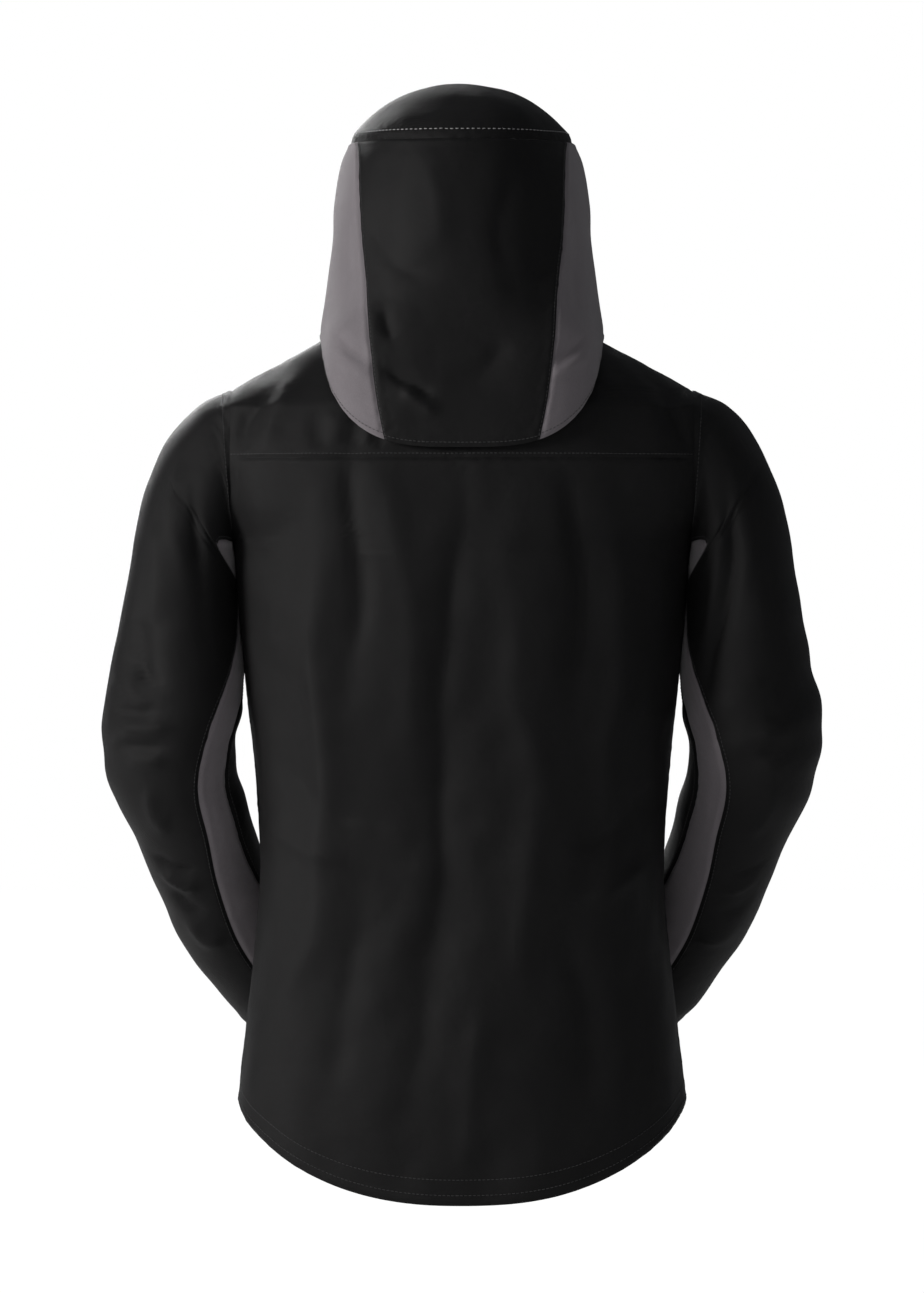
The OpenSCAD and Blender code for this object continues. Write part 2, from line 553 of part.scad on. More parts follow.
sleeve_front(left, true);  // left_sleeve_front
sleeve_inset(left, true);  // left_sleeve_inset
sleeve_back(left, false);  // left_forearm_back
sleeve_front(left, false);  // left_forearm_front
sleeve_inset(left, false);  // left_forearm_inset
cuff_band(left);  // left_cuff_band
cuff_tab(left);  // left_cuff_tab
sleeve_back(right, true);  // right_sleeve_back
sleeve_front(right, true);  // right_sleeve_front
sleeve_inset(right, true);  // right_sleeve_inset
sleeve_back(right, false);  // right_forearm_back
sleeve_front(right, false);  // right_forearm_front
sleeve_inset(right, false);  // right_forearm_inset
cuff_band(right);  // right_cuff_band
cuff_tab(right);  // right_cuff_tab
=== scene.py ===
"""Hardshell jacket, hood up, filled out as if worn: cloth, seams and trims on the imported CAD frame."""
import math

import bpy
import numpy as np
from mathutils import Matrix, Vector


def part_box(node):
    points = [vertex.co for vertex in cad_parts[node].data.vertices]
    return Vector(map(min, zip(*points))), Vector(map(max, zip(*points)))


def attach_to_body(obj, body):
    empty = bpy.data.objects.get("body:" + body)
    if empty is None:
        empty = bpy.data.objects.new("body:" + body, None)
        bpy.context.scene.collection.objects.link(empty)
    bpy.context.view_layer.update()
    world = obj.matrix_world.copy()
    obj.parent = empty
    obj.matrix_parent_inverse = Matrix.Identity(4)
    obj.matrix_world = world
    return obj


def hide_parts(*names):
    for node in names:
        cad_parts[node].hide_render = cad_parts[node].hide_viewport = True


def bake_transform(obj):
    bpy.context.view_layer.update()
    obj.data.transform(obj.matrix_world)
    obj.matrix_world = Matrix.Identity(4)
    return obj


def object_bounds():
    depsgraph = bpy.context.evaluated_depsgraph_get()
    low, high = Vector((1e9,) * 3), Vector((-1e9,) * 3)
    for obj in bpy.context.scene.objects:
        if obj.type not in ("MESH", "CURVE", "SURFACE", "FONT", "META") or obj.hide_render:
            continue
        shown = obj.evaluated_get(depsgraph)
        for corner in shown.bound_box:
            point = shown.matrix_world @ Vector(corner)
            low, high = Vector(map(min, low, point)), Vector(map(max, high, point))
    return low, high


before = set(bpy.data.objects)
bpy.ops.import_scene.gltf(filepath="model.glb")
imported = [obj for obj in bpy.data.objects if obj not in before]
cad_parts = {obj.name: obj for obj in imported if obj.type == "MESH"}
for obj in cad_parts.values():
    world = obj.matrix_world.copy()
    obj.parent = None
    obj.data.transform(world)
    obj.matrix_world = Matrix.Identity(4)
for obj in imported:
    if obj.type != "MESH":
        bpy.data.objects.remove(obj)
cad_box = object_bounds()

MM = 0.001
LEFT, RIGHT = 1, -1
SIDES = ((LEFT, "left"), (RIGHT, "right"))

# The shapes below are in millimetres: x to the wearer's left, -y to the front, z up from the lowest hem line.
back_low, back_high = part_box("back_panel")
HEM_DIP = 15.0          # the CAD back hem's lowest point stands this high in those coordinates
LOOP_BACK = 60.0        # the hanger loop, the frame's origin, lies this far behind the middle
ORIGIN = np.array([0.0, -LOOP_BACK, back_low.z / MM - HEM_DIP])
DRAWN_WIDTH = 427.0     # the back panel's width as it is drawn below
WIDE = (back_high.x - back_low.x) / MM / DRAWN_WIDTH
ARMHOLE_X = 214.1 * WIDE
ARMHOLE_Z, ARMHOLE_HALF_H = 690.0, 69.0
SHOULDER_S, BODY_H, YOKE_Z = 745.0, 813.5, 695.0
NECK_A, NECK_BACK = 112.0, 66.0
# Heights of the hood's chin and crown seam, and the height of the crown above its seam
CHIN_Z, CROWN_Z, CROWN_H = 836.0, 990.0, 55.0
FACE_HALF_ANGLE = 46.0
ZIP_HALF_GAP = 6.4
CLOTH_T = 1.3           # thickness of a cloth sheet


# ---- curves and small maths ----
def xyz(x, y, z):
    """Points from their coordinates, which may be numbers or arrays."""
    return np.stack(np.broadcast_arrays(x, y, z), -1)


def mirrored(points, side):
    return points * xyz(side, 1, 1)


def mix(a, b, t):
    return a + (b - a) * t


def ease(t):
    k = np.clip(t, 0.0, 1.0)
    return k * k * (3 - 2 * k)


def bell(x, width):
    return np.exp(-(x / width) ** 2)


def spow(v, e):
    return np.sign(v) * np.abs(v) ** e


def unit(v):
    return v / np.maximum(np.linalg.norm(v, axis=-1, keepdims=True), 1e-9)


def curve(table, column, x):
    """Column of a table at x, as a smooth curve through its rows; the first column rises."""
    x = np.asarray(x, float)
    knots, values = table[:, 0], table[:, column]
    last = len(knots) - 1
    i = np.clip(np.searchsorted(knots, x, side="right") - 1, 0, last - 1)
    before, after = np.maximum(np.arange(last + 1) - 1, 0), np.minimum(np.arange(last + 1) + 1, last)
    slope = (values[after] - values[before]) / (knots[after] - knots[before])
    h = knots[i + 1] - knots[i]
    t = np.clip((x - knots[i]) / h, 0, 1)
    return ((2 * t**3 - 3 * t * t + 1) * values[i] + (t**3 - 2 * t * t + t) * slope[i] * h
            + (3 * t * t - 2 * t**3) * values[i + 1] + (t**3 - t * t) * slope[i + 1] * h)


# ---- the body's surface ----
# Height, half width, back depth, squareness of the back, squareness of the front
BODY = np.array([
    [-10, 207, 126, 2.4, 2.6], [97, 208, 127, 2.4, 2.6], [150, 202, 125, 2.4, 2.6],
    [230, 193, 122, 2.4, 2.6], [320, 187, 119, 2.4, 2.6], [400, 192, 122, 2.4, 2.6],
    [487, 201, 130, 2.4, 2.5], [546, 207, 136, 2.4, 2.4], [583, 210, 139, 2.4, 2.4],
    [620, 214, 141, 2.4, 2.3], [655, 234, 139, 2.4, 2.2], [695, 245, 134, 2.4, 2.0],
    [725, 244, 126, 2.3, 1.8], [745, 240, 118, 2.3, 1.7]])


def over(s):
    """0 up to the start of the shoulders and 1 at the neck."""
    return np.clip((s - SHOULDER_S) / (BODY_H - SHOULDER_S), 0, 1)


def front_depth(s):
    return 134.3 - 0.018 * (s - 97)


def body_a(s):
    """Half width of the body at s; body_b is its half depth and body_n its squareness."""
    return WIDE * np.where(s < SHOULDER_S, curve(BODY, 1, s), mix(240, NECK_A, over(s)))


def body_b(s, back):
    on_back = np.where(s < SHOULDER_S, curve(BODY, 2, s), mix(118, NECK_BACK, over(s)))
    return np.where(back, on_back, front_depth(s))


def body_n(s, back):
    below = np.where(back, curve(BODY, 3, s), curve(BODY, 4, s))
    above = np.where(back, mix(2.3, 2, over(s)), mix(1.7, 2, over(s)))
    return np.where(s < SHOULDER_S, below, above)


def neck_z(th):
    """Height of the neck's edge, which dips at the throat."""
    side = np.sin(np.radians(th))
    return BODY_H - np.where(side > 0, 1.5 * side, 35.5 * np.abs(side) ** 1.5)


def body_point(th, s):
    """Point of the body's surface: th is the angle about z from the wearer's left, s its ring's height."""
    th, s = np.broadcast_arrays(np.asarray(th, float), np.asarray(s, float))
    r = np.radians(th)
    back = np.sin(r) >= 0
    n = body_n(s, back)
    z = np.where(s < SHOULDER_S, s, mix(SHOULDER_S, neck_z(th), over(s)))
    return xyz(body_a(s) * spow(np.cos(r), 2 / n), body_b(s, back) * spow(np.sin(r), 2 / n), z)


# Height of the hem at the side seams, and how far it drops from there to the back and to the front
SIDE_HEM, BACK_DROP, FRONT_DROP = 97, 90.0, 26.0


def hem_s(th):
    """Height of the hem, highest at the side seams."""
    side = np.sin(np.radians(th))
    return SIDE_HEM - np.where(side > 0, BACK_DROP, FRONT_DROP) * np.abs(side) ** 1.5


def armhole_deg(s, back):
    """Angle at which the body's surface meets the armhole plane, or 0 above and below the armhole."""
    ratio = np.clip(ARMHOLE_X / body_a(s), 0, 1)
    return np.where(ratio < 1, np.degrees(np.arccos(ratio ** (body_n(s, back) / 2))), 0.0)


def zip_gap_deg(s):
    return 90 - np.degrees(np.arccos((ZIP_HALF_GAP / body_a(s)) ** (body_n(s, False) / 2)))


# ---- the hood's surface ----
# Height, half width, middle in y, half depth, squareness
HOOD = np.array([
    [704, 131, 1, 139, 3.6], [750, 131.5, 1, 138.5, 4], [804, 131, 4, 129.5, 3.7],
    [836, 127, 3, 124.5, 2.6], [859, 124, 2, 126, 2.3], [897, 121, -3, 127, 2.1],
    [934, 118, -10, 128, 2.05], [971, 112, -21, 127, 2], [990, 104, -27.5, 122.5, 2]])
# Height, half width of the hood's black back panel
HOOD_BORDER = np.array([[704, 70], [750, 79], [802, 85], [843, 88], [900, 94], [955, 96], [993, 98]], float)
FACE_Z = (CHIN_Z + CROWN_Z - 2) / 2
FACE_HALF_H = (CROWN_Z - 2 - CHIN_Z) / 2
# Height of the hood's edge over the shoulders, and how far the edge drops from there to the back
HOOD_SIDE_LOW, HOOD_DROP = 812, 108
HOOD_BOTTOM = HOOD_SIDE_LOW - HOOD_DROP


def hood_point(th, z):
    th, z = np.broadcast_arrays(np.asarray(th, float), np.asarray(z, float))
    r = np.radians(th)
    n = curve(HOOD, 4, z)
    x = curve(HOOD, 1, z) * spow(np.cos(r), 2 / n)
    return xyz(x, curve(HOOD, 2, z) + curve(HOOD, 3, z) * spow(np.sin(r), 2 / n), z)


def hood_low(th):
    """Height of the hood's lower edge."""
    side = np.sin(np.radians(th))
    rise = (CHIN_Z + 2 - HOOD_SIDE_LOW) * ease(-side / 0.45)
    return HOOD_SIDE_LOW + np.where(side > 0, -HOOD_DROP * np.abs(side) ** 1.2, rise)


def border_deg(z):
    """Angle of the seam between the black back of the hood and its grey side."""
    ratio = np.clip(curve(HOOD_BORDER, 1, z) / curve(HOOD, 1, z), 0, 1)
    return np.degrees(np.arccos(ratio ** (curve(HOOD, 4, z) / 2)))


def face_deg(z):
    """Half angle of the face opening."""
    k = np.clip(np.abs((z - FACE_Z) / FACE_HALF_H), 0, 0.97)
    return FACE_HALF_ANGLE * (1 - k**6) ** (1 / 6)


def disc(x, y):
    """Bends a square grid of -1 to 1 to a disc."""
    return x * np.sqrt(1 - y * y / 2), y * np.sqrt(1 - x * x / 2)


def crown_point(x, y):
    """Point of the crown, a dome on the hood's top ring, from a square grid of -1 to 1."""
    u, v = disc(x, y)
    r2 = np.minimum(1, u * u + v * v)
    _, half_width, middle, half_depth, _ = HOOD[-1]
    y = mix(middle + 5.5, middle, np.sqrt(r2)) + half_depth * v
    return xyz(half_width * u, y, CROWN_Z + CROWN_H * (1 - r2) ** 0.75)


# ---- the left sleeve's surface ----
# Station, inner edge x and z, outer edge x and z, middle in y, half depth, pitch of the ring
SLEEVE = np.array([
    [0, 214.6, 621, 214.6, 759, 0, 76, 0], [1, 211.3, 607, 246, 745, 1, 79, 0],
    [2, 209.5, 593, 274, 712, 2, 79, 0], [3, 208.0, 573, 297, 655, 3, 77, 0],
    [4, 206.2, 545, 311, 585, 4, 75, 2], [5, 202.6, 505, 325, 508, 5, 72, 5],
    [6, 204.5, 458, 335, 452, 4, 68, 10], [7, 211, 415, 328, 398, -9, 63, 19],
    [8, 203, 382, 304, 341, -36, 57, 27], [9, 192, 340, 288, 300, -62, 54, 30],
    [10, 172, 290, 266, 250, -98, 50, 32], [11, 150, 247, 230, 197, -133, 46, 33],
    [12, 134.1, 217.6, 205.9, 168.4, -153, 43.5, 33]])
# Station, angle of the seam between back panel and inset, and between inset and front panel
INSET = np.array([
    [0, 118, 225], [2, 124, 212], [3, 150, 206], [4, 166, 200], [5, 147, 190], [6, 125, 158],
    [7, 113, 146], [8, 100, 134], [9, 94, 137], [10, 89, 146], [11, 84, 150], [12, 80, 150]], float)
# The grey panel's back seam near the armhole: it follows the armpit, then drops to a point under the arm.
GUSSET = np.array([
    [0, 178], [0.5, 158], [1, 145.7], [1.5, 134.8], [2, 124.3], [2.3, 121.5], [2.4, 140], [2.5, 154],
    [2.62, 170], [3, 173], [3.5, 172], [4, 166]])
SLEEVE_END = 12.0
CAP_END = 4.4           # the sleeve's cloth is in two lengths that meet at this station, above the elbow
ELBOW = np.array([270.0, 2.0, 447.0])


def sleeve_raw(f, t):
    """Point of the sleeve's rings: f is the angle round the arm from its outer side, t the station."""
    f, t = np.broadcast_arrays(np.asarray(f, float), np.asarray(t, float))
    inner_x, inner_z, outer_x, outer_z, middle_y, depth, pitch = (curve(SLEEVE, k, t) for k in range(1, 8))
    inner, outer = xyz(inner_x, 0, inner_z), xyz(outer_x, 0, outer_z)
    half = (outer - inner) / 2
    pitch = np.radians(pitch)
    lean = xyz(0, np.cos(pitch), -np.sin(pitch))
    across = unit(half)
    lean = unit(lean - across * (lean * across).sum(-1, keepdims=True))
    middle = (inner + outer) / 2 + xyz(0, middle_y, 0)
    r = np.radians(f)[..., None]
    return middle + half * np.cos(r) + lean * depth[..., None] * np.sin(r)


def armhole_point(f):
    """Point of the armhole, where the body's surface is cut by a plane."""
    s = ARMHOLE_Z + ARMHOLE_HALF_H * np.cos(np.radians(f))
    back = np.sin(np.radians(f)) >= 0
    n, ratio = body_n(s, back), np.clip(ARMHOLE_X / body_a(s), 0, 1)
    y = np.where(back, 1, -1) * body_b(s, back) * (1 - ratio**n) ** (1 / n)
    return xyz(ARMHOLE_X, y, s)


def sleeve_point(f, t):
    """Point of the sleeve, which starts on the armhole and joins its rings within one station."""
    f, t = np.broadcast_arrays(np.asarray(f, float), np.asarray(t, float))
    start = armhole_point(f) - sleeve_raw(f, np.zeros_like(t))
    return sleeve_raw(f, t) + start * np.where(t < 1, (1 - t) ** 2, 0)[..., None]


# ---- folds ----
def waves(seed, length, count=26, stretch=(1.0, 1.0, 1.0)):
    """A smooth random field of points, about -1 to 1, with features about length mm across."""
    rng = np.random.default_rng(seed)
    k = unit(rng.normal(size=(count, 3))) / np.array(stretch) * (2 * math.pi / length)
    k = k * rng.uniform(0.6, 1.5, (count, 1))
    phase = rng.uniform(0, 2 * math.pi, count)
    return lambda p: np.sin(p @ k.T + phase).sum(-1) / math.sqrt(count) * 0.9


def smooth_path(points, steps=10):
    """A smooth line through points in two or three dimensions."""
    pts = np.array([points[0]] + list(points) + [points[-1]], float)
    out = []
    for a, b, c, d in zip(pts[:-3], pts[1:-2], pts[2:-1], pts[3:]):
        for t in np.linspace(0, 1, steps, endpoint=False):
            out.append(0.5 * (2 * b + (c - a) * t + (2 * a - 5 * b + 4 * c - d) * t * t
                              + (3 * b - a - 3 * c + d) * t**3))
    return np.array(out + [pts[-2]])


FOLD_LEAN = 0.5          # how far a fold leans to one side, from 0 to 1


def crease(p, points, width, height):
    """A fold along a path in x and z, which is a valley if its height is below 0."""
    path = smooth_path(points)
    best = np.full(len(p), 1e9)
    side, along = np.zeros(len(p)), np.zeros(len(p))
    lengths = np.linalg.norm(np.diff(path, axis=0), axis=1)
    total, done = lengths.sum(), 0.0
    for a, b, size in zip(path[:-1], path[1:], lengths):
        d = (b - a) / max(size, 1e-9)
        rel = p - a
        k = np.clip(rel @ d, 0, size)
        off = rel - k[:, None] * d
        dist = np.linalg.norm(off, axis=1)
        near = dist < best
        best = np.where(near, dist, best)
        side = np.where(near, rel[:, 0] * d[1] - rel[:, 1] * d[0], side)
        along = np.where(near, (done + k) / total, along)
        done += size
    end = np.minimum(ease(along / 0.3), ease((1 - along) / 0.3))
    r = best / width
    profile = np.exp(-(np.sqrt(r * r + 0.12) - 0.346) * 1.5)
    return height * (0.15 + 0.85 * end) * profile * (1 + FOLD_LEAN * np.tanh(side / width)) * (r < 5)


# Folds, as (path in x and z, width, height), seen from behind with x to the wearer's left
BACK_FOLDS = [
    ([(98, 735), (101, 650), (99, 560), (103, 478)], 11, -7),
    ([(128, 700), (136, 560), (131, 420), (134, 285), (163, 205), (190, 170)], 19, 7),
    ([(62, 706), (58, 600), (46, 500), (48, 400)], 26, 5),
    ([(-4, 700), (15, 527), (24, 285), (57, 72)], 18, -6),
    ([(-44, 640), (-54, 440), (-60, 285), (-48, 170)], 27, 6),
    ([(215, 618), (206, 560), (193, 480)], 9, 5),
    ([(-98, 715), (-106, 590), (-98, 440)], 17, -6),
    ([(-140, 690), (-146, 540), (-136, 380), (-142, 240)], 24, 6),
    ([(-212, 618), (-204, 540), (-190, 450)], 9, 4),
    ([(180, 420), (130, 376), (76, 356)], 13, -3),
    ([(186, 360), (144, 332), (96, 322)], 14, 3.5),
    ([(-184, 400), (-140, 354), (-92, 340)], 14, -4),
    ([(-186, 330), (-140, 300), (-104, 292)], 13, 4),
    ([(92, 300), (112, 180), (122, 90)], 18, -4),
    ([(-92, 280), (-112, 170), (-118, 80)], 20, -5),
    ([(-14, 200), (-10, 110), (0, 30)], 22, 4),
    ([(178, 770), (204, 728), (222, 684)], 10, -5),
    ([(-178, 770), (-206, 726), (-222, 680)], 10, -5),
    ([(150, 780), (176, 735), (186, 700)], 12, 3),
    ([(128, 738), (127, 716), (126, 699)], 4, -4),
    ([(112, 736), (112, 716), (113, 699)], 5, 2.5),
    ([(98, 734), (98, 716), (98, 699)], 4, -4),
    ([(88, 730), (88, 714), (88, 699)], 5, 2.5),
    ([(77, 728), (77, 714), (77, 699)], 4, -3.5),
]
SLEEVE_FOLDS = [
    ([(248, 668), (243, 602), (232, 530), (228, 470)], 9, -7),
    ([(284, 640), (281, 600), (276, 540)], 13, 5),
    ([(262, 700), (268, 640), (258, 580)], 10, 4),
    ([(237, 640), (228, 580), (222, 520)], 7, 4),
    ([(300, 560), (296, 520), (300, 480)], 9, -4),
    ([(326, 468), (306, 456), (284, 452)], 6, -5),
    ([(320, 448), (300, 438), (268, 436)], 8, 4),
    ([(326, 432), (304, 420), (272, 416)], 6, -5),
    ([(316, 410), (296, 402), (272, 404)], 8, 4),
    ([(314, 520), (296, 494), (276, 480)], 7, -4),
    ([(322, 500), (306, 474), (288, 464)], 7, 4),
    ([(300, 382), (284, 360), (262, 350)], 8, 4),
    ([(290, 332), (268, 314), (244, 308)], 5, -5),
    ([(286, 314), (262, 294), (240, 290)], 6, 5),
    ([(276, 292), (256, 272), (236, 270)], 5, -5),
    ([(262, 264), (240, 248), (218, 248)], 6, 4),
]
HOOD_FOLDS = [
    ([(68, 830), (65, 815), (58, 800)], 8, -4),
    ([(78, 778), (58, 768), (40, 762), (20, 750)], 7, -4.5),
    ([(62, 758), (40, 748), (18, 736)], 9, 4),
    ([(118, 800), (100, 790), (80, 785)], 5, -4.5),
    ([(120, 786), (100, 778), (82, 768)], 6, 3),
    ([(-40, 806), (-22, 778), (4, 764)], 12, -3),
    ([(92, 905), (60, 872), (20, 858)], 16, -3),
    ([(-96, 880), (-64, 850), (-30, 842)], 14, -3),
    ([(88, 860), (82, 820), (74, 790)], 11, 2.5),
    ([(-96, 890), (-82, 840), (-86, 780)], 14, 3),
    ([(-110, 965), (-116, 900), (-112, 840)], 4, -3),
    ([(-121, 940), (-124, 870), (-120, 810)], 4, 3),
    ([(-104, 900), (-110, 850), (-104, 800)], 5, -3),
    ([(-112, 830), (-108, 790), (-98, 752)], 5, 3),
    ([(108, 930), (116, 880), (113, 830)], 8, -2.5),
    ([(36, 980), (24, 930), (30, 880)], 14, 2.5),
    ([(-40, 970), (-34, 910), (-44, 850)], 14, -2.5),
]
FRONT_FOLDS = [
    ([(180, 640), (140, 560), (118, 470)], 12, -6),
    ([(-182, 640), (-138, 550), (-120, 450)], 12, -6),
    ([(150, 640), (96, 520), (84, 400)], 16, 4),
    ([(-152, 650), (-100, 530), (-82, 390)], 16, 4),
    ([(60, 700), (48, 520), (56, 300)], 16, 3),
    ([(-56, 690), (-50, 500), (-62, 280)], 16, 3),
    ([(176, 400), (120, 360), (66, 352)], 11, -4),
    ([(-178, 390), (-126, 345), (-66, 342)], 11, -4),
    ([(184, 340), (140, 300), (92, 130)], 15, 4),
    ([(-184, 330), (-144, 290), (-96, 120)], 15, 4),
]

WARP_X, WARP_Z, WARP = waves(3, 120), waves(4, 120), 5     # the folds' paths waver by about WARP mm
RIPPLE = waves(11, 85, stretch=(1.0, 1.0, 2.2))
CRUMPLE = waves(12, 40, stretch=(1.0, 1.0, 1.3))
RINGS = waves(13, 46, stretch=(2.2, 2.2, 0.9))
FINE = waves(14, 15, count=40)


def folds(points, normals, kind, side):
    """Height in mm of the folds at each point: a body's, a sleeve's, or the hood's for any other kind."""
    p, n = points.reshape(-1, 3), normals.reshape(-1, 3)
    if kind == "sleeve":
        p = mirrored(p, side)                   # each sleeve gets its own noise and the same large folds
    flat = p[:, [0, 2]] + np.stack([WARP_X(p), WARP_Z(p)], -1) * WARP
    if kind == "sleeve":
        flat[:, 0] *= side
    to_back, to_front = ease(n[:, 1] * 1.6 + 0.1), ease(-n[:, 1] * 1.6 + 0.1)

    def creases(table):
        return sum(crease(flat, *row) for row in table)
    if kind == "body":
        total = to_back * creases(BACK_FOLDS)
        total += to_front * creases(FRONT_FOLDS)
        total += 1.5 * RIPPLE(p) + 0.45 * CRUMPLE(p) + 0.05 * FINE(p)
    elif kind == "sleeve":
        outer = ease(n[:, 0] * side * 1.2 + 0.9)
        total = (0.25 + 0.75 * to_back) * outer * creases(SLEEVE_FOLDS)
        bend = bell(p[:, 2] - ELBOW[2], 60)
        by_body = 1 - 0.85 * ease(-n[:, 0] * 1.6 - 0.3) * ease((p[:, 2] - 470) / 40)
        total += by_body * ((0.3 + 1.1 * bend) * RINGS(p) + 1.2 * RIPPLE(p)) + 0.05 * FINE(p)
    else:
        total = ease(n[:, 1] * 2.5 + 0.7) * creases(HOOD_FOLDS)
        total += 1.1 * RIPPLE(p) + 0.3 * CRUMPLE(p) + 0.04 * FINE(p)
    return total.reshape(points.shape[:-1])


# ---- grids of points that become cloth ----
EDGE_STEPS = np.array([0, 0.8, 1.7, 2.9, 4.4, 6.4, 9.0])
STITCH_ROW = 4          # the grid line this far in from an edge carries the topstitching


def spaced(length, step=5.0):
    """Parameters from 0 to 1 along a length in mm, closer together near both ends."""
    inner = np.linspace(EDGE_STEPS[-1], length - EDGE_STEPS[-1], max(3, int(length / step)))
    return np.concatenate([EDGE_STEPS[:-1], inner, length - EDGE_STEPS[:-1][::-1]]) / length


def grid_normals(p, turn):
    return turn * unit(np.cross(np.gradient(p, axis=0), np.gradient(p, axis=1)))


def edge_distance(p):
    """Distances in mm along the grid from each point to the edges u = 0, u = 1, v = 0 and v = 1."""
    du = np.linalg.norm(np.diff(p, axis=0), axis=-1).cumsum(0)
    dv = np.linalg.norm(np.diff(p, axis=1), axis=-1).cumsum(1)
    u0 = np.concatenate([np.zeros((1, p.shape[1])), du])
    v0 = np.concatenate([np.zeros((p.shape[0], 1)), dv], 1)
    return u0, u0[-1:] - u0, v0, v0[:, -1:] - v0


SEAM_GROOVE, SEAM_RIDGE = 1.1, 0.4     # depth of a seam's groove, and height of the allowance beside it
PUCKER = 0.35


def with_seams(height, distance, seams, pucker):
    """Calms the folds beside each edge that has a seam, and adds the seam's groove, ridge and puckers."""
    for d, on in zip(distance, seams):
        profile = -SEAM_GROOVE * bell(d, 2.0) + SEAM_RIDGE * bell(d - 5.0, 3.2)
        height = height * (1 - on * 0.55 * bell(d, 14)) + on * (profile + pucker * np.exp(-d / 9))
    return height


def surface(function, u_length, v_length, turn=1, kind="body", side=LEFT, seams=(1, 1, 1, 1), step=5.0,
            still=None, lift=None, rim=None):
    """Builds a grid of points and normals from function(u, v), with folds and seams raised on it."""
    u, v = np.meshgrid(spaced(u_length, step), spaced(v_length, step), indexing="ij")
    p = function(u, v)
    n = grid_normals(p, turn)
    distance = edge_distance(p) if rim is None else [rim(u, v)]
    height = with_seams(folds(p, n, kind, side), distance, seams, waves(21, 9)(p) * PUCKER)
    if still is not None:
        height = height * still(p)
    if lift is not None:
        height = height + lift(p)
    p = p + n * height[..., None]
    return p, grid_normals(p, turn)


# ---- materials ----
def new_material(name):
    material = bpy.data.materials.new(name)
    material.use_nodes = True
    tree = material.node_tree
    return material, tree, tree.nodes["Principled BSDF"]


def fill(tree, node, inputs):
    """Sets inputs of a node to values, or links them to sockets."""
    for key, value in inputs.items():
        if isinstance(value, bpy.types.NodeSocket):
            tree.links.new(value, node.inputs[key])
        else:
            node.inputs[key].default_value = value


def add_node(tree, kind, inputs, output=0, **settings):
    """Adds a shader node and returns one of its outputs."""
    node = tree.nodes.new("ShaderNode" + kind)
    for name, value in settings.items():
        setattr(node, name, value)
    fill(tree, node, inputs)
    return node.outputs[output]


def maths(tree, operation, *values):
    return add_node(tree, "Math", dict(enumerate(values)), operation=operation)


def times(tree, a, b):
    return maths(tree, "MULTIPLY", a, b)


def plus(tree, a, b):
    return maths(tree, "ADD", a, b)


def noise(tree, vector, scale, detail, roughness=0.55):
    inputs = {"Vector": vector, "Scale": scale, "Detail": detail, "Roughness": roughness}
    return add_node(tree, "TexNoise", inputs, "Fac")


def bump(tree, height, strength, distance, **normal):
    inputs = {"Height": height, "Strength": strength, "Distance": distance, **normal}
    return add_node(tree, "Bump", inputs, "Normal")


def between(tree, factor, low, high):
    inputs = {"Factor": factor, "A": (*low, 1), "B": (*high, 1)}
    return add_node(tree, "Mix", inputs, "Result", data_type="RGBA")


def coordinates(tree):
    return add_node(tree, "TexCoord", {}).node.outputs


def components(tree, vector):
    return add_node(tree, "SeparateXYZ", {0: vector}).node.outputs


def weave_height(tree, uv, thread):
    """Height of a plain weave with threads that many metres apart, from 0 to 1."""
    split = components(tree, uv)
    warp, weft = (maths(tree, "SINE", times(tree, split[axis], math.pi / thread)) for axis in "XY")
    over = maths(tree, "GREATER_THAN", times(tree, warp, weft), 0.0)
    under = maths(tree, "SUBTRACT", 1.0, over)
    high, low = (maths(tree, "ABSOLUTE", height) for height in (warp, weft))
    return plus(tree, times(tree, high, over), times(tree, low, under))


def fabric(name, dark, light, roughness, sheen, thread=0.0007, shine=0.3):
    """Woven cloth: threads, slow and fine colour variation, small creases and a soft sheen."""
    material, tree, shader = new_material(name)
    coords = coordinates(tree)
    place, threads = coords["Object"], weave_height(tree, coords["UV"], thread)
    slow, grain = noise(tree, place, 14.0, 4.0), noise(tree, place, 900.0, 2.0)
    shade = plus(tree, times(tree, slow, 0.5), times(tree, grain, 0.5))
    shade = times(tree, shade, plus(tree, times(tree, threads, 0.5), 0.6))
    creases = bump(tree, noise(tree, place, 70.0, 5.0, 0.6), 0.35, 0.0016)
    fill(tree, shader, {
        "Base Color": between(tree, shade, dark, light),
        "Roughness": plus(tree, roughness - 0.07, times(tree, slow, 0.14)),
        "Normal": bump(tree, threads, 0.5, 0.0002, Normal=creases),
        "Sheen Weight": sheen,
        "Sheen Roughness": 0.45,
        "Sheen Tint": (*[min(1.0, c * 8 + 0.2) for c in light], 1),
        "Specular IOR Level": shine,
    })
    return material


def moulded(name, dark, light, roughness, grain=600.0, metallic=0.0, depth=0.0001):
    """Moulded plastic, rubber or painted metal: fine grain, uneven gloss and lighter worn edges."""
    material, tree, shader = new_material(name)
    place = coordinates(tree)["Object"]
    edges = maths(tree, "SUBTRACT", add_node(tree, "NewGeometry", {}, "Pointiness"), 0.5)
    patch = noise(tree, place, 90.0, 4.0)
    mark = plus(tree, times(tree, patch, 0.6), times(tree, edges, 4.0))
    fill(tree, shader, {
        "Base Color": between(tree, mark, dark, light),
        "Roughness": plus(tree, roughness - 0.1, times(tree, patch, 0.2)),
        "Normal": bump(tree, noise(tree, place, grain, 2.0), 0.3, depth),
        "Metallic": metallic,
    })
    return material


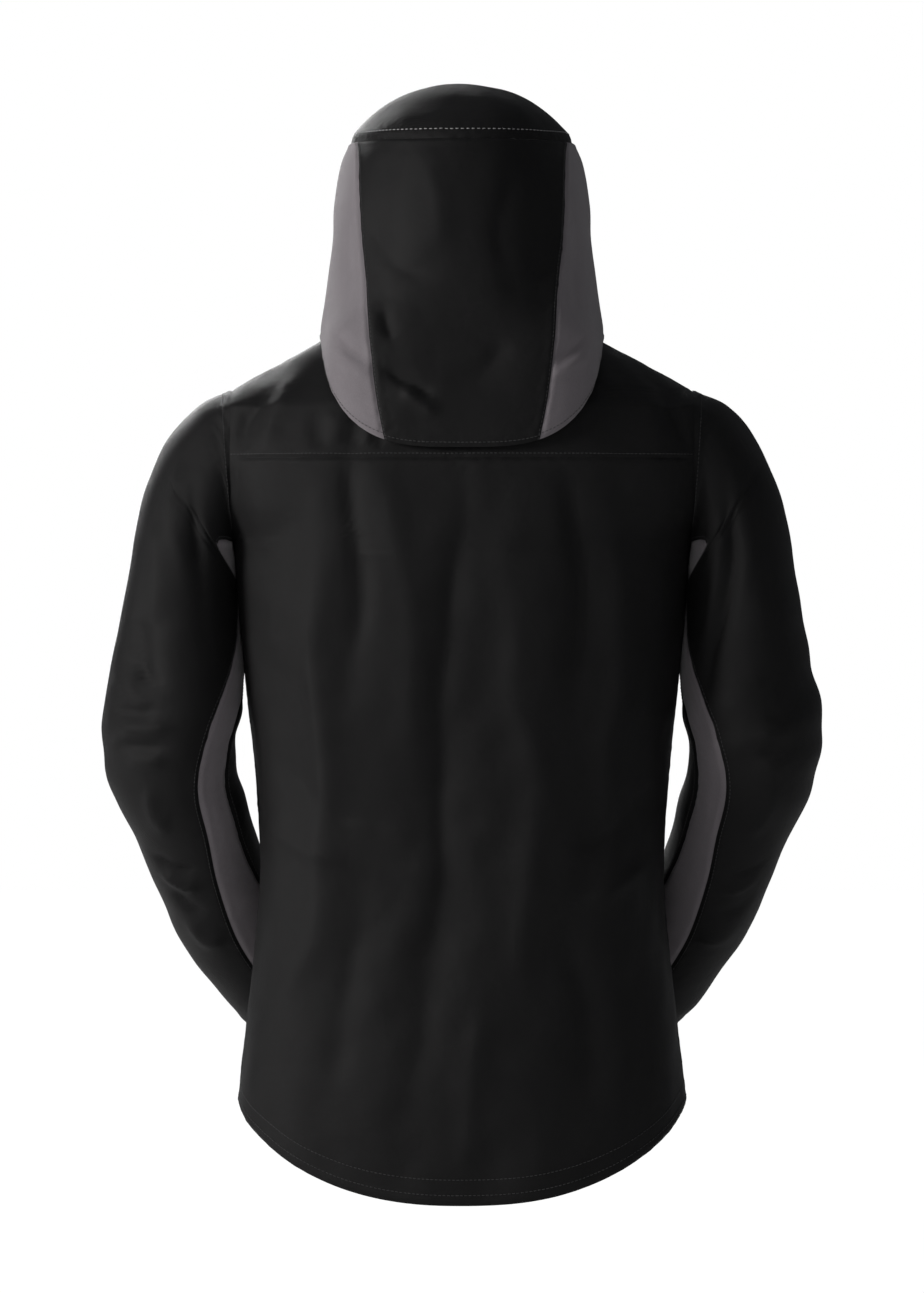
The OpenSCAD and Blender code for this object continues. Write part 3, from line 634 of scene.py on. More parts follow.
def braid(name, dark, light, pitch=0.0012):
    """Woven tape or braided cord: crossing diagonal ribs in space."""
    material, tree, shader = new_material(name)
    split = components(tree, coordinates(tree)["Object"])
    across = plus(tree, split["X"], split["Y"])
    ribs = [maths(tree, "SINE", times(tree, maths(tree, way, across, split["Z"]), math.pi / pitch))
            for way in ("ADD", "SUBTRACT")]
    ribs = maths(tree, "MAXIMUM", *ribs)
    fill(tree, shader, {
        "Base Color": between(tree, ribs, dark, light),
        "Normal": bump(tree, ribs, 0.6, 0.0003),
        "Roughness": 0.75,
        "Sheen Weight": 0.15,
    })
    return material


SHELL = fabric("shell_weave", (0.0065, 0.0064, 0.0066), (0.0145, 0.0142, 0.0146), 0.52, 0.02, shine=0.14)
GREY = fabric("inset_weave", (0.125, 0.112, 0.122), (0.27, 0.245, 0.262), 0.7, 0.3, thread=0.0008)
LINING = fabric("lining_knit", (0.018, 0.018, 0.02), (0.06, 0.06, 0.065), 0.75, 0.1, thread=0.0016)
TAPE = braid("woven_tape", (0.006, 0.006, 0.006), (0.03, 0.03, 0.032))
CORD = braid("braided_cord", (0.008, 0.008, 0.008), (0.05, 0.05, 0.052), pitch=0.0009)
THREAD = braid("dark_thread", (0.014, 0.014, 0.015), (0.05, 0.05, 0.052), pitch=0.0003)
PALE_THREAD = braid("pale_thread", (0.3, 0.3, 0.31), (0.6, 0.59, 0.6), pitch=0.0003)
PLASTIC = moulded("moulded_plastic", (0.008, 0.008, 0.009), (0.06, 0.06, 0.062), 0.4)
RUBBER = moulded("soft_grip", (0.012, 0.012, 0.012), (0.05, 0.05, 0.052), 0.62, 1200.0, depth=0.0002)
METAL = moulded("painted_metal", (0.012, 0.012, 0.013), (0.16, 0.16, 0.17), 0.3, metallic=0.7)


# ---- meshes ----
def add_object(name, vertices, faces, materials, uv=None, normals=None, face_material=None):
    """Adds a smooth mesh from vertices and uv in mm; face_material picks each face's material."""
    mesh = bpy.data.meshes.new(name)
    points = ((np.asarray(vertices) + ORIGIN) * MM).tolist()
    mesh.from_pydata(points, [], faces if isinstance(faces, list) else faces.tolist())
    for material in materials:
        mesh.materials.append(material)
    if face_material is not None:
        mesh.polygons.foreach_set("material_index", np.asarray(face_material, np.int32))
    mesh.polygons.foreach_set("use_smooth", np.full(len(mesh.polygons), True))
    if uv is not None:
        corners = np.zeros(len(mesh.loops), np.int32)
        mesh.loops.foreach_get("vertex_index", corners)
        layer = mesh.uv_layers.new(name="UVMap")
        layer.data.foreach_set("uv", (np.asarray(uv)[corners] * MM).astype(np.float32).ravel())
    mesh.update()
    if normals is not None:
        mesh.normals_split_custom_set_from_vertices(np.asarray(normals, float).tolist())
    item = bpy.data.objects.new(name, mesh)
    bpy.context.scene.collection.objects.link(item)
    return item


def attach(piece, node=None, body="torso"):
    """Makes a piece ride on a body, in place of a CAD node if one is named."""
    if node is not None:
        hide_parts(node)
    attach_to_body(piece, body)


def quads(ids):
    """Faces between the rows and columns of a grid of vertex numbers."""
    return np.stack([ids[:-1, :-1], ids[1:, :-1], ids[1:, 1:], ids[:-1, 1:]], -1).reshape(-1, 4)


def ring_quads(rings, sides):
    """Faces between closed rings of vertices."""
    ids = np.arange(rings * sides).reshape(rings, sides)
    return quads(np.concatenate([ids, ids[:, :1]], 1))


def cloth(name, p, n, outside, slot="shell_fabric", inside=LINING, turn=1, thickness=CLOTH_T, side=LEFT):
    """A sheet of cloth with real thickness from a grid of points and normals; side RIGHT mirrors it."""
    if side == RIGHT:
        p, n, turn = mirrored(p, side), mirrored(n, side), -turn
    count = p[..., 0].size
    ids = np.arange(count).reshape(p.shape[:2])
    front, back = quads(ids), quads(ids + count)[:, ::-1]
    rim = np.concatenate([ids[:, 0], ids[-1, 1:], ids[-2::-1, -1], ids[0, -2:0:-1]])
    ahead = np.roll(rim, -1)
    walls = np.stack([rim, rim + count, ahead + count, ahead], -1)
    faces = np.concatenate([front, back, walls])[:, ::turn]
    face_material = np.repeat([0, 1, 0], [len(front), len(back), len(walls)])
    u, _, v, _ = edge_distance(p)
    uv = np.tile(np.stack([u, v], -1).reshape(-1, 2), (2, 1))
    vertices, normals = np.concatenate([p, p - n * thickness]), np.concatenate([n, -n])
    return add_object(name, vertices.reshape(-1, 3), faces, [outside, inside], uv,
                      normals.reshape(-1, 3), face_material)


def stitches(name, lines, material=THREAD, pitch=4.0, length=2.7, width=0.7, proud=0.35):
    """Rows of single stitches along lines, each (points, normals), laid on the cloth."""
    corners = [(-1, -0.6), (1, -0.6), (0.6, 0.7), (-0.6, 0.7)]
    sections = [(-0.5, 0.35), (-0.32, 1.0), (0.32, 1.0), (0.5, 0.35)]
    blocks = []
    for line in lines:
        lengths = np.concatenate([[0], np.linalg.norm(np.diff(line[0], axis=0), axis=1).cumsum()])
        at = np.arange(pitch / 2, lengths[-1], pitch)
        if len(at) < 2:
            continue
        centre, up = (np.stack([np.interp(at, lengths, c) for c in values.T], -1) for values in line)
        up, along = unit(up), unit(np.gradient(centre, axis=0))
        across = np.cross(up, along)
        blocks.append(np.stack([centre + along * shift * length + across * x * grow * width / 2
                                + up * (y * grow * proud + 0.1)
                                for shift, grow in sections for x, y in corners], 1))
    points = np.concatenate(blocks)
    one = np.concatenate([ring_quads(4, 4)[:, [0, 3, 2, 1]], [[3, 2, 1, 0], [12, 13, 14, 15]]])
    faces = (np.arange(len(points))[:, None, None] * 16 + one).reshape(-1, 4)
    return add_object(name, points.reshape(-1, 3), faces, [material])


CORD_SIDES = 10          # flat sides round a cord


def tube(name, path, radius, material=CORD):
    """A round cord along a path."""
    along = unit(np.gradient(path, axis=0))
    side = unit(np.cross(along, [0.03, 0.05, 1.0]))
    up = np.cross(side, along)
    turn = np.linspace(0, 2 * math.pi, CORD_SIDES, endpoint=False)[None, :, None]
    rings = path[:, None] + (side[:, None] * np.cos(turn) + up[:, None] * np.sin(turn)) * radius
    first = list(range(CORD_SIDES))
    last = [(len(path) - 1) * CORD_SIDES + k for k in reversed(first)]
    faces = ring_quads(len(path), CORD_SIDES).tolist() + [first, last]
    return add_object(name, rings.reshape(-1, 3), faces, [material])


def line_of(grid, edge, rows=STITCH_ROW):
    """The grid line a few rows in from an edge: 0 is u = 0, 1 is u = 1, 2 is v = 0 and 3 is v = 1."""
    row = -1 - rows if edge % 2 else rows
    return [values[:, row] if edge > 1 else values[row] for values in grid[:2]]


def mirror_lines(lines, side):
    return [[mirrored(values, side) for values in line] for line in lines]


# ---- small zips: flat chords of the front panel ----
ZIP_PROUD = 3.4          # the small zips stand this far out from the front's surface


def front_y(x, z):
    """The front surface's y at x and z."""
    a, n = body_a(z), body_n(z, False)
    return -front_depth(z) * (1 - (np.abs(x) / a) ** n) ** (1 / n)


def chord(x0, z0, x1, length):
    """Origin and axes of a straight zip on the left front panel: x across, y inwards, z along."""
    z1 = z0 + math.sqrt(length * length - (x1 - x0) ** 2)
    a, b = xyz(x0, front_y(x0, z0), z0), xyz(x1, front_y(x1, z1), z1)
    m, along = (a + b) / 2, unit(b - a)
    across = unit(xyz(4, front_y(m[0] + 2, m[2]) - front_y(m[0] - 2, m[2]), 0))
    across = unit(across - along * (across @ along))
    inwards = np.cross(along, across)
    bulge = max(0.0, float((m - xyz(m[0], front_y(m[0], m[2]), m[2])) @ inwards))
    return a - inwards * (ZIP_PROUD + bulge), np.stack([across, inwards, along], 1)


POCKET_ZIP_LEN, CHEST_ZIP_LEN = 168.0, 120.0
POCKET = chord(136, 176, 104, POCKET_ZIP_LEN)
CHEST = chord(96, 512, 90, CHEST_ZIP_LEN)


def zip_footprint(p, zip_place, length, reach=16.0):
    """How near each point is to a zip, 1 on it and 0 from reach mm away, and its depth below the zip."""
    local = (p - zip_place[0]) @ zip_place[1]
    dx = np.maximum(np.abs(local[..., 0]) - 9.0, 0)
    dz = np.maximum(np.maximum(-3 - local[..., 2], local[..., 2] - length - 3), 0)
    return 1 - ease(np.hypot(dx, dz) / reach), local[..., 1]


def small_zips(side):
    return [(POCKET, POCKET_ZIP_LEN)] + ([(CHEST, CHEST_ZIP_LEN)] if side == LEFT else [])


def front_still(side):
    """Keeps the folds away from the small zips and the armhole."""
    def still(p):
        keep = by_armhole(p)
        for zip_place, length in small_zips(side):
            keep = keep * (1 - zip_footprint(p, zip_place, length, 26)[0])
        return keep
    return still


def front_lift(side):
    """Brings the front cloth out to lie just under the small zips."""
    def lift(p):
        total = 0
        for zip_place, length in small_zips(side):
            mask, depth = zip_footprint(p, zip_place, length)
            total = total + mask * (depth - 0.7)
        return total
    return lift


def by_armhole(p):
    """0 on the armhole's edge and 1 away from it, so that body and sleeve meet there without folds."""
    x, z = np.abs(p[..., 0]), p[..., 2]
    near = 1 - ease((ARMHOLE_X - x) / 14)
    side_seam = 0.8 * ease((x - body_a(z) + 12) / 10) * ease((z - 470) / 40) * ease((650 - z) / 30)
    return (1 - near * ease((z - 596) / 24) * ease((790 - z) / 26)) * (1 - side_seam)


# ---- body cloth ----
def even_arc(u):
    """Spreads points evenly round the flat back and the tight sides of the body's outline."""
    return u - 0.055 * np.sin(4 * math.pi * u)


def back_sheet(low, high):
    """The back between two heights, of which the lower may change with u."""
    def function(u, v):
        s = mix(low(u), high, v)
        e = armhole_deg(s, True)
        return body_point(mix(e, 180 - e, even_arc(u)), s)
    return function


def build_back():
    lower = back_sheet(lambda u: hem_s(180 * even_arc(u)), YOKE_Z)
    upper = back_sheet(lambda u: YOKE_Z, BODY_H)
    back = surface(lower, 560, 640, step=4.5, still=by_armhole)
    yoke = surface(upper, 470, 150, step=4.5, still=by_armhole)
    attach(cloth("back_panel_cloth", *back, SHELL), "back_panel")
    attach(cloth("back_yoke_cloth", *yoke, SHELL), "back_yoke")
    attach(stitches("back_stitching", [line_of(yoke, 2), line_of(back, 2, 6), line_of(back, 2, 9)]))


def front_sheet(u, v):
    """The left front, from the zip to the side seam and from the hem to just below the collar."""
    s = hem_s(-90 + 90 * u) * (1 - v) + (BODY_H - 0.4) * v
    e = armhole_deg(s, False)
    return body_point(mix(-90 + zip_gap_deg(s), -e, u), s)


def collar_point(th, v):
    """Point of the collar: v runs from 0 at the neck's edge to 1 at the chin."""
    v = np.asarray(v)[..., None]
    return mix(body_point(th, BODY_H) - xyz(0, 0, 1.0), hood_point(th, CHIN_Z), v)


COLLAR_DEG = -29.0       # angle at which the collar ends under the hood


def build_fronts():
    for side, word in SIDES:
        # The right front lies smoother than the left: it has the soft waves without the creases.
        front = surface(front_sheet, 300, 720, side=side, still=front_still(side), lift=front_lift(side),
                        kind="body" if side == LEFT else "calm")
        attach(cloth(f"{word}_front_cloth", *front, SHELL, side=side), f"{word}_front_panel")
        collar = surface(lambda u, v: collar_point(mix(-90 + zip_gap_deg(BODY_H), COLLAR_DEG, u), v), 150, 58,
                         kind="hood", side=side)
        attach(cloth(f"{word}_collar_cloth", *collar, SHELL, side=side), f"{word}_collar")
        lines = [line_of(front, 0), line_of(front, 2, 6)] + [line_of(collar, edge) for edge in (0, 3, 2)]
        attach(stitches(f"{word}_front_stitching", mirror_lines(lines, side)))


# ---- hood cloth ----
LOCK_HOLE = 0.62         # the cord's hole is this far down a cord lock's length
TAPE_INSIDE = 0.978      # the seam tape's outline over the hood's, which leaves room for the cloth


def hood_back_sheet(u, v):
    border = border_deg(HOOD_BOTTOM)
    z = mix(hood_low(mix(border, 180 - border, u)), CROWN_Z, v)
    e = border_deg(z)
    return hood_point(mix(e, 180 - e, u), z)


def hood_side_sheet(u, v):
    z = mix(hood_low(mix(-90 + face_deg(CHIN_Z + 2), border_deg(HOOD_BOTTOM), u)), CROWN_Z, v)
    return hood_point(mix(-90 + face_deg(z), border_deg(z), u), z)


def seam_tape_sheet(u, v):
    """The tape that seals the seam between the back and a side of the hood, just inside both."""
    z = mix(hood_low(border_deg(HOOD_BOTTOM)) + 3, CROWN_Z - 4, v)
    return hood_point(border_deg(z) + mix(-5, 5, u), z) * xyz(TAPE_INSIDE, TAPE_INSIDE, 1)


CROWN_SPAN = (250, 290)  # the crown cloth's width and length over the dome
CROWN_RADIUS = 113.0


def crown_rim(u, v):
    """Distance in mm from the crown's rim."""
    return CROWN_RADIUS * (1 - np.hypot(*disc(2 * u - 1, 2 * v - 1)))


def crown_ring(grid, inset, degrees):
    """Points and normals on the crown's cloth along a line that runs inset mm inside its rim."""
    r = 1 - inset / CROWN_RADIUS
    a, b = r * np.cos(np.radians(degrees)), r * np.sin(np.radians(degrees))

    def square(c, d):
        k, m = 2 + c * c - d * d, 2 * math.sqrt(2) * c
        return (np.sqrt(np.maximum(k + m, 0)) - np.sqrt(np.maximum(k - m, 0))) / 4 + 0.5
    spots = []
    for value, length in zip((square(a, b), square(b, a)), CROWN_SPAN):
        steps = spaced(length, 4.5)
        spots.append(np.interp(value, steps, np.arange(len(steps))))
    i, j = (np.clip(spot.astype(int), 0, size - 2) for spot, size in zip(spots, grid[0].shape))
    fu, fv = (spots[0] - i)[:, None], (spots[1] - j)[:, None]
    return tuple(mix(mix(g[i, j], g[i + 1, j], fu), mix(g[i, j + 1], g[i + 1, j + 1], fu), fv) for g in grid)


def build_hood():
    back = surface(hood_back_sheet, 205, 285, kind="hood", step=4)
    attach(cloth("hood_back_cloth", *back, SHELL), "hood_back_panel")
    dark = [line_of(back, 2), line_of(back, 0), line_of(back, 1)]
    for side, word in SIDES:
        panel = surface(hood_side_sheet, 250, 200, kind="hood", side=side, step=4.5)
        attach(cloth(f"hood_{word}_cloth", *panel, GREY, "inset_fabric", side=side), f"hood_{word}_panel")
        dark += mirror_lines([line_of(panel, 2), line_of(panel, 0)], side)
        tape = surface(seam_tape_sheet, 22, 285, kind="hood", side=side, step=4.5, seams=(0, 0, 0, 0))
        attach(cloth(f"hood_{word}_seam_tape", *tape, LINING, "lining_fabric", thickness=0.5, side=side))
        z = np.linspace(CHIN_Z + 2, CROWN_Z - 2, 70)
        opening = hood_point(-90 + face_deg(z), z)
        attach(tube(f"hood_{word}_binding", mirrored(opening, side), 2.4, SHELL))
        z = np.linspace(FACE_Z - FACE_HALF_H * 0.8, FACE_Z + FACE_HALF_H * 0.8, 60)
        path = hood_point(-86 + face_deg(z), z) * 0.955 + xyz(0, 0, z * 0.045)
        cord = tube(f"hood_{word}_cord", mirrored(path, side), 1.5)
        attach(cord, "hood_drawcord" if side == LEFT else None)
    crown = surface(lambda u, v: crown_point(2 * u - 1, 2 * v - 1), *CROWN_SPAN, kind="hood", step=4.5,
                    rim=crown_rim)
    attach(cloth("hood_crown_cloth", *crown, SHELL), "hood_crown")
    for name, material, degrees in (("hood_crown_stitching", PALE_THREAD, np.linspace(-40, 220, 240)),
                                    ("hood_brow_stitching", THREAD, np.linspace(-136, -44, 90))):
        line = crown_ring(crown, 4.6, degrees)
        attach(stitches(name, [line], material, pitch=5.0, length=2.9, width=0.8, proud=0.5))
    attach(stitches("hood_stitching", dark))


def build_lock_cords():
    """The cord that comes out of the collar, runs through a hood cord lock and goes back in."""
    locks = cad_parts["hood_cord_locks"]
    corners = np.array([locks.matrix_world @ v.co for v in locks.data.vertices]) / MM - ORIGIN
    low, high = (f(corners[corners[:, 0] > 0], axis=0) for f in (np.min, np.max))
    hole = xyz((low[0] + high[0]) / 2, (low[1] + high[1]) / 2, mix(high[2], low[2], LOCK_HOLE))

    def collar_inside(th):
        neck = collar_point(th, 0.0)[2]
        r = math.radians(th)
        return collar_point(th, (hole[2] - neck) / (CHIN_Z - neck)) - 3 * xyz(math.cos(r), math.sin(r), 0)
    middle = math.degrees(math.atan2(hole[1], hole[0]))
    loop = smooth_path([collar_inside(middle - 11), hole - [7, 0, 0], hole, hole + [7, 0, 0],
                        hole + [10.5, 4, 0], collar_inside(middle + 11)], 8)
    for side, word in SIDES:
        attach(tube(f"hood_{word}_lock_cord", mirrored(loop, side), 1.4))


PEAK_HALF_ANGLE, PEAK_REACH = 44, 26     # half the angle the peak spans, and how far it stands out


def build_peak():
    def peak_sheet(u, v):
        th = mix(-90 - PEAK_HALF_ANGLE, -90 + PEAK_HALF_ANGLE, u)
        r, w = np.radians(th), np.sqrt(np.maximum(np.cos(np.radians((th + 90) * 2)), 0))
        return hood_point(th, CROWN_Z) + xyz(6 * v * np.cos(r), -PEAK_REACH * v * w - 1.0, 1.2 - 12 * v * w)
    peak = surface(peak_sheet, 170, PEAK_REACH, kind="hood", step=4)
    attach(cloth("hood_peak_cloth", *peak, SHELL, thickness=2.4), "hood_peak")


BAND_DEG = (-34, 214)    # angles at which the base band ends under the collar


def build_base_band():
    """The hidden cloth from the neck's edge up to the hood, bulging where the hood hangs down."""
    def band_sheet(u, v):
        th = mix(*BAND_DEG, u)
        x, y = np.cos(np.radians(th)), np.sin(np.radians(th))
        inset = 2.5 + 6.5 * ease((-26 - np.minimum(th, 180 - th)) / 5)
        a = body_point(th, BODY_H) + xyz(0, 1, -4) - xyz(inset * x, inset * y, 0)
        b = hood_point(th, hood_low(th) + 14) - xyz(4 * x, 4 * y, 0)
        bulge = xyz(8 * x, 17 * y, 9 + 7 * y)
        return mix(a, b, v[..., None]) + (4 * v * (1 - v) * ease((y + 0.1) / 0.5))[..., None] * bulge
    band = surface(band_sheet, 520, 120, kind="hood", step=8)
    attach(cloth("hood_base_cloth", *band, SHELL), "hood_base_band")


# ---- sleeve cloth ----
def sleeve_grid(first, last, side, length_round):
    """The sleeve between two seam angles, from the armhole to the cuff, as one grid (u round, v along)."""
    u, v = np.meshgrid(spaced(length_round), np.linspace(0, 1, 150), indexing="ij")
    t = v * SLEEVE_END
    p = sleeve_point(mix(first(t), last(t), u), t)
    n = grid_normals(p, -1)
    height = folds(p, n, "sleeve", side) * ease(t / 1.3) * ease((SLEEVE_END - t) / 0.7)
    distance = edge_distance(p)
    pucker = waves(22, 9)(p) * PUCKER
    height = with_seams(height, distance, (1, 1, 0, 1), pucker)
    head = distance[2]
    height = height + (0.9 * bell(head - 7, 5) + pucker * 1.6 * bell(head - 10, 9)) * (t < 3)
    p = p + n * height[..., None]
    return p, grid_normals(p, -1), t


def part_of(grid, rows):
    """A length of a sleeve's grid."""
    return grid[0][:, rows], grid[1][:, rows]


def bend_at(piece, side, joint):
    """Bakes a sleeve piece's place into its mesh; the shoulder's or the elbow's bodies and blend line are
    worked out but not used.
    """
    word = dict(SIDES)[side]
    if joint == "shoulder":
        bodies, start = ("torso", f"{word}_upper_sleeve"), xyz(ARMHOLE_X, 0, ARMHOLE_Z - ARMHOLE_HALF_H)
        end = start + 80 * unit(xyz(0.45, 0, -0.9))
    else:
        bodies = (f"{word}_upper_sleeve", f"{word}_forearm")
        start, end = ELBOW + xyz(6, 6, 58), ELBOW + xyz(-8, -22, -58)
    start, end = (((mirrored(point, side) + ORIGIN) * MM).tolist() for point in (start, end))
    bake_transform(piece)


def inset_back(t):
    return np.where(t < GUSSET[-1, 0], np.interp(t, *GUSSET.T), curve(INSET, 1, t))


def inset_front(t):
    return curve(INSET, 2, t)


def build_sleeve(side):
    word = dict(SIDES)[side]
    shell = sleeve_grid(lambda t: inset_front(t) - 360, inset_back, side, 330)
    inset = sleeve_grid(inset_back, inset_front, side, 110)
    split = int(np.argmin(np.abs(shell[2][0] - CAP_END)))
    # Length, its rows of the grid, its CAD nodes and the name of its joint
    lengths = (("cap", slice(0, split + 1), "sleeve", "shoulder"),
               ("arm", slice(split, None), "forearm", "elbow"))
    for grid, material, slot, name, parts in (
            (shell, SHELL, "shell_fabric", "sleeve", ("back", "front")),
            (inset, GREY, "inset_fabric", "sleeve_inset", ("inset",))):
        for length, rows, node, joint in lengths:
            piece = cloth(f"{word}_{name}_{length}", *part_of(grid, rows), material, slot, turn=-1, side=side)
            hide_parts(*[f"{word}_{node}_{part}" for part in parts])
            bend_at(piece, side, joint)
    for length, rows, _, joint in lengths:
        lines = [line_of(part_of(shell, rows), edge) for edge in (0, 1)]
        if length == "cap":
            lines.append(line_of(shell, 2, 3))
        bend_at(stitches(f"{word}_{length}_stitching", mirror_lines(lines, side)), side, joint)


CUFF_LEN, CUFF_R = 34.0, 43.0      # length and outer radius of a cuff band


def cuff_frame():
    """Middle, axis and cross directions of the cuff band, from the sleeve's last ring."""
    out, back, inner, front = (sleeve_raw(f, SLEEVE_END) for f in (0, 90, 180, 270))
    axis, across = unit(np.cross(out - inner, front - back)), unit(out - inner)
    return (out + inner) / 2 + 0.2 * axis, axis, across, np.cross(axis, across)


def build_cuff(side):
    word = dict(SIDES)[side]
    middle, axis, across, up = cuff_frame()

    def band(u, v):
        r = 2 * math.pi * u
        ring = across * np.cos(r)[..., None] + up * np.sin(r)[..., None]
        return middle + ring * CUFF_R + axis * (v * CUFF_LEN)[..., None]
    grid = surface(band, 272, CUFF_LEN, kind="hood", side=side, seams=(0, 0, 1, 1), step=4)
    attach(cloth(f"{word}_cuff_cloth", *grid, SHELL, side=side), f"{word}_cuff_band", body=f"{word}_forearm")
    lines = mirror_lines([line_of(grid, 2), line_of(grid, 3)], side)
    attach(stitches(f"{word}_cuff_stitching", lines), body=f"{word}_forearm")


# ---- inside ----
def inside_patch(degrees, heights, inset, length_round, side):
    """A patch of lining just inside the front, between two angles and two heights."""
    return surface(lambda u, v: body_point(mix(*degrees, u), mix(*heights, v)) * xyz(inset, 0.93, 1),
                   length_round, heights[1] - heights[0], kind="hood", side=side, step=8)


def build_inside():
    def facing(u, v):
        th = mix(-85, 265, u)
        return body_point(th, hem_s(th) + mix(1, 30, v)) * xyz(0.965, 0.945, 1)
    sheet = surface(facing, 1000, 30, kind="hood", step=8)
    attach(cloth("hem_facing_cloth", *sheet, LINING, slot="lining_fabric"), "hem_facing")
    th = np.linspace(-48, 228, 200)
    attach(tube("hem_cord", body_point(th, hem_s(th) + 14) * xyz(0.972, 0.958, 1), 1.5), "hem_drawcord")
    for side, word in SIDES:
        bag = inside_patch((-72, -28), (135, 350), 0.95, 190, side)
        piece = cloth(f"{word}_pocket_bag_cloth", *bag, LINING, slot="lining_fabric", side=side)
        attach(piece, "pocket_bags" if side == LEFT else None)
    bag = inside_patch((-70, -46), (505, 640), 0.94, 100, LEFT)
    attach(cloth("chest_pocket_bag_cloth", *bag, LINING, slot="lining_fabric"))


# ---- zips ----
ZIP_INSET, ZIP_LOW_Z, ZIP_HIGH_Z = 4.1, 72, 832
ZIP_LOW, ZIP_HIGH = (xyz(0, -front_depth(z) + ZIP_INSET, z) for z in (ZIP_LOW_Z, ZIP_HIGH_Z))
ZIP_AXIS = unit(ZIP_HIGH - ZIP_LOW)
MAIN_ZIP = (ZIP_LOW, np.stack([xyz(1.0, 0, 0), xyz(0, ZIP_AXIS[2], -ZIP_AXIS[1]), ZIP_AXIS], 1))


def strip(name, low, high, half_width, depth, material, slot):
    """A flat strip of cloth behind the main zip, with a soft wave."""
    def sheet(u, v):
        local = xyz(half_width * (1 - 2 * u), depth + 0.5 * np.sin(9 * v + 2 * u), mix(low, high, v))
        return MAIN_ZIP[0] + local @ MAIN_ZIP[1].T
    grid = surface(sheet, 2 * half_width, high - low, kind="hood", step=6, turn=-1)
    return cloth(name, *grid, material, slot=slot, turn=-1)


# A tooth's outline, its size along and through the zip and the pitch of the teeth on one side, in mm
TOOTH = [(-0.8, -0.5), (0.8, -0.5), (1.0, 0.0), (0.8, 0.5), (-0.8, 0.5), (-1.0, 0.0)]
TOOTH_LONG, TOOTH_DEEP, TOOTH_PITCH = 0.576, 1.178, 1.9
# A tooth's sections, as (distance from the zip's middle, size)
TOOTH_SECTIONS = [(-0.5, 0.5), (-0.1, 0.95), (1.9, 1.0), (2.8, 0.7)]
TAPE_T, TAPE_FROM, TAPE_RIB = 0.8, 2.6, 3.6     # a tape's thickness, and its edge and rib from the middle


def teeth(name, zip_place, low, high, node=None, side=LEFT):
    """The coils of a zip: rounded teeth from both sides that lock in turn."""
    one = ring_quads(len(TOOTH_SECTIONS), len(TOOTH))[:, [0, 3, 2, 1]]
    one = np.concatenate([one, [[3, 2, 1, 0], [5, 4, 3, 0], [18, 19, 20, 21], [18, 21, 22, 23]]])
    points, faces = [], []
    step = TOOTH_PITCH / 2
    for k, z in enumerate(np.arange(low + step, high - step, step)):
        hand = 1 if k % 2 else -1
        faces.append(len(points) + one[:, ::hand * side])
        points += [(hand * x, dy * grow * TOOTH_DEEP, z + dz * grow * TOOTH_LONG)
                   for x, grow in TOOTH_SECTIONS for dz, dy in TOOTH]
    points = mirrored(zip_place[0] + np.array(points) @ zip_place[1].T, side)
    attach(add_object(name, points, np.concatenate(faces), [PLASTIC]), node)


def tape_strips(name, zip_place, low, high, width, node, side=LEFT):
    """The two woven tapes of a zip, with a rib beside the coil."""
    u, v = np.meshgrid(np.linspace(0, 1, 12), np.linspace(0, 1, 60), indexing="ij")
    for hand, label in ((1, "a"), (-1, "b")):
        x = mix(TAPE_FROM, TAPE_FROM + 0.3 + width, u)
        local = xyz(hand * x, -0.4 - 0.35 * bell(x - TAPE_RIB, 0.7), mix(low, high, v))
        p = zip_place[0] + local @ zip_place[1].T
        piece = cloth(f"{name}_{label}", p, grid_normals(p, hand), TAPE, "tape_and_cord", TAPE, hand,
                      TAPE_T, side)
        attach(piece, node if hand == 1 else None)


def build_zips():
    length = float(np.linalg.norm(ZIP_HIGH - ZIP_LOW))
    teeth("main_zip_teeth", MAIN_ZIP, 14, length - 3, "main_zip_coils")
    tape_strips("main_zip_tape", MAIN_ZIP, 12.4, length - 3, 10, "main_zip_tapes")
    attach(strip("storm_flap_cloth", 1, length - 60, 22, 5.2, SHELL, "shell_fabric"), "storm_flap")
    attach(strip("chin_guard_cloth", length - 58, length - 2, 20, 5.4, LINING, "lining_fabric"), "chin_guard")
    for side, word in SIDES:
        teeth(f"{word}_pocket_teeth", POCKET, 0.1, POCKET_ZIP_LEN - 0.1, side=side)
        tape_strips(f"{word}_pocket_tape", POCKET, 0, POCKET_ZIP_LEN, 5, f"{word}_pocket_zip", side)
    teeth("chest_pocket_teeth", CHEST, 0.1, CHEST_ZIP_LEN - 0.1)
    tape_strips("chest_pocket_tape", CHEST, 0, CHEST_ZIP_LEN, 5, "chest_pocket_zip")


# ---- CAD nodes that keep their own shape ----
# The ends of the nodes' names, and what they are made of
LOOKS = {"slider": METAL, "end_stops": METAL, "puller": RUBBER, "plunger": PLASTIC, "cord_locks": PLASTIC,
         "cuff_tab": RUBBER, "hanger_loop": TAPE, "neck_label": GREY}


def dress_hardware():
    """Gives each CAD node that stays its material and softened edges."""
    for name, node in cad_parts.items():
        for word, material in LOOKS.items():
            if name.endswith(word):
                node.data.materials.clear()
                node.data.materials.append(material)
                bevel = node.modifiers.new("softened_edges", "BEVEL")
                bevel.width = 0.0008 if word == "cuff_tab" else 0.0004
                bevel.segments = 2
                bevel.limit_method = "ANGLE"
                bevel.angle_limit = math.radians(35)


# ---- stage ----
FLOOR_DROP, FLOOR_GLOW = 0.06, 1.075
FLOOR_SEEN = 0.93        # the share of the glow in what the camera sees of the floor
AMBIENT = 0.1            # strength of the world's light


